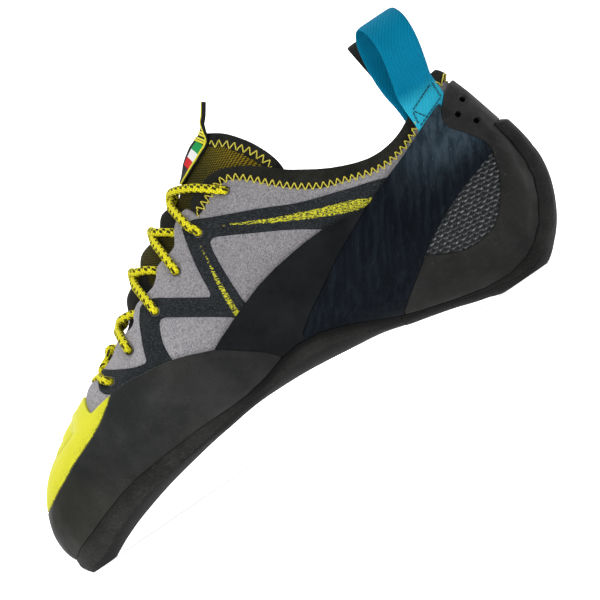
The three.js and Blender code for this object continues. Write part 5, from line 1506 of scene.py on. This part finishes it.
# ---- pull loops
WEB_W, WEB_T = 18.4, 1.3
LOOP_X = {"lateral": 229.4, "medial": 230.6}
LOOP_LEAN = {"lateral": 0.108, "medial": -0.127}
LOOP_FACE = {"lateral": 0.39, "medial": 0.0}  # how far each loop faces the heel
LOOP_RISE = {"lateral": 1.0, "medial": 0.91}
LOOP = [
    [0.95, 73.0], [0.95, 76.5], [0.95, 81], [0.95, 86], [1.6, 91], [3.6, 98], [5.3, 106], [5.5, 113], [4.2, 119.2], [1.4, 123.0], [-1.4, 124.4], [-4.6, 123.2],
    [-7.8, 118.6], [-9.6, 110.5], [-9.2, 102], [-7.0, 95], [-4.9, 90], [-4.6, 86], [-4.6, 80],
]
for side, word, mat, slot_name in ((-1, "lateral", "blue", "blue_webbing"), (1, "medial", "black_web", "black_webbing")):
    wall = lambda x, z: on_side(x, z, side)
    lx, k = LOOP_X[word], LOOP_FACE[word]
    base = wall(lx, 86.0)
    outward = np.array([k, side * math.sqrt(1 - k * k), 0])
    along_ = np.array([math.sqrt(1 - k * k), -side * k, 0])
    upward = along_ * LOOP_LEAN[word] + [0, 0, 1]
    foot = base - along_ * 86 * LOOP_LEAN[word]
    foot[2] = 0
    lean = lambda z: float(np.dot(wall(lx, min(z, 92.0)) - base, outward))
    rise_to = lambda z: z if z < 88 else 88 + (z - 88) * LOOP_RISE[word]
    top_at = max(range(len(LOOP)), key=lambda i: LOOP[i][1])
    swell = lambda i, z: (np.interp(z, [87, 91, 98, 106, 113, 119.2, 123, 124.5], [0, 0.5, 1.9, 3.3, 4.0, 3.7, 2.8, 1.8]) if i <= top_at else np.interp(z, [119, 123.2], [0, 1.0])) if side < 0 else 0.0
    line = curve([[lean(z) + out + swell(i, z), rise_to(z)] for i, (out, z) in enumerate(LOOP)], 0.9)
    seg = np.append(0, np.cumsum(np.linalg.norm(np.diff(line, axis=0), axis=1)))
    d = unit(np.gradient(line, axis=0))
    nrm = np.stack([-d[:, 1], d[:, 0]], 1)
    w = np.linspace(-WEB_W / 2, WEB_W / 2, 23)
    inner_half = np.arange(len(line)) > np.argmax(line[:, 1])
    base_n = 1 - smooth(line[:, 1], 87, 95)
    grids = {}
    for sign in (1, -1):
        edge = line + nrm * sign * WEB_T / 2
        P = foot + outward * edge[:, None, :1] + upward * edge[:, None, 1:] + along_ * w[None, :, None] * 1.0
        # the foot of the webbing follows the wall
        stuck = (base_n * ~inner_half)[:, None, None]
        on = on_side(P[..., 0], np.minimum(P[..., 2], 96), side, 0.95 - sign * side * 0 + (WEB_T / 2 if sign == (1 if np.dot(nrm[3], [1, 0]) > 0 else -1) else -WEB_T / 2))
        on[..., 2] = P[..., 2]
        P = P + (on - P) * stuck
        grids[sign] = P
    s1, s2 = (1, -1)
    mid = (grids[1] + grids[-1]) / 2
    n3 = unit(grids[1] - grids[-1])
    # slightly crowned selvedges
    thin = np.sqrt(np.clip(1 - (np.abs(w) / (WEB_W / 2)) ** 8, 0.05, 1))
    A = np.hstack([mid.reshape(-1, 3), (n3).reshape(-1, 3), np.zeros((mid.shape[0] * mid.shape[1], 1))])
    nw = len(w)
    i = (np.arange(len(line) - 1)[:, None] * nw + np.arange(nw - 1)[None]).ravel()
    a, b, c, d4 = i, i + 1, i + nw + 1, i + nw
    F = np.vstack([np.stack([a, b, c], 1), np.stack([a, c, d4], 1)])
    fn = np.cross(A[F[0, 1], :3] - A[F[0, 0], :3], A[F[0, 2], :3] - A[F[0, 0], :3])
    if np.dot(fn, A[F[0, 0], 3:6]) < 0:
        F = F[:, ::-1]
    uv = np.stack([np.broadcast_to(w[None], mid.shape[:2]).ravel(), np.broadcast_to(seg[:, None], mid.shape[:2]).ravel()], 1)
    A = np.hstack([A, uv, np.repeat(inner_half.astype(float), nw)[:, None]])
    clear = lambda A: np.where(A[:, 9] > 0.5, 5.0, -inside(TENSION_BAND, X(A), Z(A)) - 0.1)
    clear2 = lambda A: np.where(A[:, 9] > 0.5, 5.0, -inside(HEEL_CUP, X(A), Z(A)) - 0.1)
    web = keep(keep((A, F), clear, 0.0), clear2, 0.0)
    A = web[0]
    t = WEB_T / 2 * np.sqrt(np.clip(1 - (np.abs(A[:, 7]) / (WEB_W / 2)) ** 8, 0.12, 1))
    V, F2, kind = shell(web, t, -t, rings=2, bulge=0.15)
    extra = len(V) - 2 * len(A)
    mp = np.hstack([A[:, 7:9], np.zeros((len(A), 1))])
    E = np.tile(mp, (2, 1))
    rest = len(V) - len(E)
    near = np.zeros((rest, 3))
    if rest:
        rimv = V[2 * len(A):]
        for k0 in range(0, rest, 512):
            blk = rimv[k0 : k0 + 512]
            near[k0 : k0 + 512] = mp[np.argmin(((blk[:, None] - A[None, :, :3]) ** 2).sum(-1), 1)]
    make(f"pull_loop_{word[:3]}", V, F2, M[mat], attrs={"map": np.vstack([E, near])}, replaces=[f"pull_loop_{word}"])
    # box and cross of stitches at the webbing's foot
    top_d = 0.95 + WEB_T / 2 + 0.06
    box = [[[223.6, 83.6], [236.4, 88.8]], [[236.4, 88.8], [236.2, 81.0]], [[223.4, 83.2], [222.3, 76.3]], [[223.8, 83.2], [227.3, 77.7]],
           [[222.6, 76.6], [236.2, 81.6]]]
    st = join([dashes(l, side, top_d, 1.35, 1.75, 0.2) for l in box])
    make(f"loop_stitches_{word[:3]}", st[0], st[1], M["black_thread"], attrs={"map": st[2]})

# ---- ribbon tab on the tongue, a little to the lateral side of the ridge, its end standing free
def ridge_arc(x, steps=34):
    """points across the ridge at x, square to it, 0.5 mm apart in y, and their normals"""
    t = ridge_row(x)
    p, e = at_row(t, 2), at_row(t + 0.05, 2) - at_row(t - 0.05, 2)
    n = np.array([-e[2], 0, e[0]]) / math.hypot(e[0], e[2])
    ys = p[1] + (np.arange(2 * steps + 1) - steps) * 0.5
    side = np.where(ys < p[1], -1.0, 1.0)
    lo, hi = np.zeros(len(ys)), np.full(len(ys), 16.0)
    for _ in range(30):
        m = (lo + hi) / 2
        y = y_at(p[0] - n[0] * m, p[2] - n[2] * m, side)
        wide = np.abs(y - p[1]) > np.abs(ys - p[1])
        lo, hi = np.where(wide, lo, m), np.where(wide, m, hi)
    m = (lo + hi) / 2
    q = np.stack([p[0] - n[0] * m, ys, p[2] - n[2] * m], 1)
    tangent = unit(np.gradient(q, axis=0))
    return q, unit(np.cross(tangent, e)) * np.sign(np.dot(np.cross(tangent[steps], e), n)), steps


RIB = [[126.2, 112.3], [129, 114.4], [132, 117.0], [135, 119.4], [138, 121.7], [141, 123.9], [144, 126.0], [146.4, 127.7], [148.6, 129.6],
       [150.6, 131.6], [152.4, 134.0], [154.2, 136.6]]
line = curve(RIB, 0.55)
across = np.linspace(-6, 6, 17)
stuck = 1 - smooth(line[:, 0], 143.6, 149.4)
P = np.zeros((len(line), len(across), 3))
N0 = np.zeros_like(P)
for i, (x, z) in enumerate(line):
    d = unit(line[min(i + 1, len(line) - 1)] - line[max(i - 1, 0)])
    P[i] = np.stack([np.full(len(across), x), 0.2 + across, np.full(len(across), z)], 1)
    N0[i] = [-d[1], 0, d[0]]
    if stuck[i] > 0:
        q, n, mid = ridge_arc(min(x, 147))
        run = np.append(0, np.cumsum(np.linalg.norm(np.diff(q, axis=0), axis=1)))
        want = across - np.interp(x, [126, 131, 136, 142, 147], [0.8, 2.6, 4.6, 5.6, 4.6])
        at = run[mid] + want
        lay = np.stack([np.interp(at, run, q[:, k]) for k in range(3)], 1)
        up_n = unit(np.stack([np.interp(at, run, n[:, k]) for k in range(3)], 1))
        lay = lay + up_n * (-WALL + 0.55)
        off = np.interp(x, [126, 129, 133, 140, 144, 147], [0, 0.8, 2.0, 2.4, 1.7, 1.0])
        lay = lay + np.array([-0.64, 0, 0.77]) * (off * smooth(across, -2.5, 6.0))[:, None]
        if x > 147:
            lay = lay + [x - 147, 0, z - np.interp(147, line[:, 0], line[:, 1])]
        P[i] += (lay - P[i]) * stuck[i]
        N0[i] = unit(N0[i] + (up_n - N0[i]) * stuck[i])
nc = len(across)
i = (np.arange(len(line) - 1)[:, None] * nc + np.arange(nc - 1)[None]).ravel()
a, b, c, d4 = i, i + 1, i + nc + 1, i + nc
F = np.vstack([np.stack([a, b, c], 1), np.stack([a, c, d4], 1)])
V0 = P.reshape(-1, 3)
face = np.cross(V0[F[:, 1]] - V0[F[:, 0]], V0[F[:, 2]] - V0[F[:, 0]])
if (face * N0.reshape(-1, 3)[F[:, 0]]).sum() < 0:
    F = F[:, ::-1]
thick = 0.5 + 0.75 * smooth(np.repeat(line[:, 0], nc), 144, 148)
A = np.hstack([V0, N0.reshape(-1, 3), np.zeros((len(V0), 1))])
V, F2, kind = shell((A, F), 0.45, -thick, rings=2, bulge=0.15)
mp = np.stack([np.tile(across, len(line)), np.repeat(line[:, 0], nc), np.zeros(len(V0))], 1)
rest = len(V) - 2 * len(V0)
near = mp[np.argmin(((V[2 * len(V0):][:, None] - V0[None]) ** 2).sum(-1), 1)] if rest else np.zeros((0, 3))
make("tongue_ribbon", V, F2, M["ribbon"], attrs={"map": np.vstack([mp, mp, near])}, replaces=["tongue_tab"])
parts = [tube(P[:, 1] * 0.4 + P[:, 2] * 0.6 + N0[:, 2] * 0.45, 0.5, 8)]
for x in (143.2, 144.2, 145.4, 146.2):
    i = int(np.argmin(np.abs(line[:, 0] - x)))
    parts.append(tube(P[i, 1:-1] + N0[i, 1:-1] * 0.6, 0.42, 8))
V, F2, m = join(parts)
make("ribbon_piping", V, F2, M["piping"], attrs={"map": m})

# ------------------------------------------------------------------ stage, light, camera
def stage_mesh(name, verts, faces, mat):
    me = bpy.data.meshes.new(name)
    me.from_pydata(verts, [], faces)
    me.materials.append(mat)
    ob = bpy.data.objects.new(name, me)
    bpy.context.scene.collection.objects.link(ob)
    return ob


def pale(name, base, glow):
    L = Look(name, (base, base, base), 0.95, Specular_IOR_Level=0.0)
    L.b.inputs["Emission Color"].default_value = (1, 1, 1, 1)
    L.b.inputs["Emission Strength"].default_value = glow
    return L.m


stage_mesh("floor", [(-120, -120, 0), (120, -120, 0), (120, 120, 0), (-120, 120, 0)], [(0, 1, 2, 3)], pale("pale_floor", 0.66, 0.8))
stage_mesh("backdrop", [(-2, 2.2, -0.001), (2, 2.2, -0.001), (2, 2.2, 2.4), (-2, 2.2, 2.4)], [(0, 1, 2, 3)], pale("pale_backdrop", 0.8, 0.95))

# a low pale wall all round, far off, so that no view sees past the floor's edge
far = [(9 * math.cos(i * math.pi / 12), 9 * math.sin(i * math.pi / 12)) for i in range(24)]
stage_mesh("horizon", [(x, y, z) for x, y in far for z in (-0.001, 0.5)],
           [(2 * i, 2 * ((i + 1) % 24), 2 * ((i + 1) % 24) + 1, 2 * i + 1) for i in range(24)], pale("pale_horizon", 0.8, 0.95))

world = bpy.data.worlds.new("studio")
bpy.context.scene.world = world
world.use_nodes = True
world.node_tree.nodes["Background"].inputs["Color"].default_value = (0.92, 0.96, 1, 1)
world.node_tree.nodes["Background"].inputs["Strength"].default_value = 0.34


def area(name, at, to, size, power):
    light = bpy.data.lights.new(name, "AREA")
    light.shape = "RECTANGLE"
    light.size, light.size_y, light.energy = size[0], size[1], power
    ob = bpy.data.objects.new(name, light)
    ob.location = at
    ob.rotation_mode = "QUATERNION"
    ob.rotation_quaternion = (Vector(to) - Vector(at)).to_track_quat("-Z", "Y")
    bpy.context.scene.collection.objects.link(ob)
    return ob


area("key", (-0.9, -1.0, 1.1), (0, 0, 0.05), (0.6, 0.6), 12)
area("front", (0.5, -1.4, 0.9), (0, 0, 0.05), (0.8, 0.6), 3)
area("top", (0.2, 0.4, 1.4), (0, 0, 0.05), (0.7, 0.7), 11)

cam_data = bpy.data.cameras.new("camera")
cam = bpy.data.objects.new("camera", cam_data)
bpy.context.scene.collection.objects.link(cam)
bpy.context.scene.camera = cam
DIST = 4.0
cam_data.sensor_width = 36
cam_data.lens = 36 * DIST / 0.25
cam_data.clip_start, cam_data.clip_end = 0.01, 200
cam.location = (0.0120, -0.008 - DIST, 0.0455)
roll = math.radians(34.35)
from mathutils import Matrix

right = Vector((math.cos(roll), 0, -math.sin(roll)))
up = Vector((math.sin(roll), 0, math.cos(roll)))
back = right.cross(up)
cam.rotation_mode = "QUATERNION"
cam.rotation_quaternion = Matrix((right, up, back)).transposed().to_quaternion()

bpy.context.scene.view_settings.view_transform = "Standard"
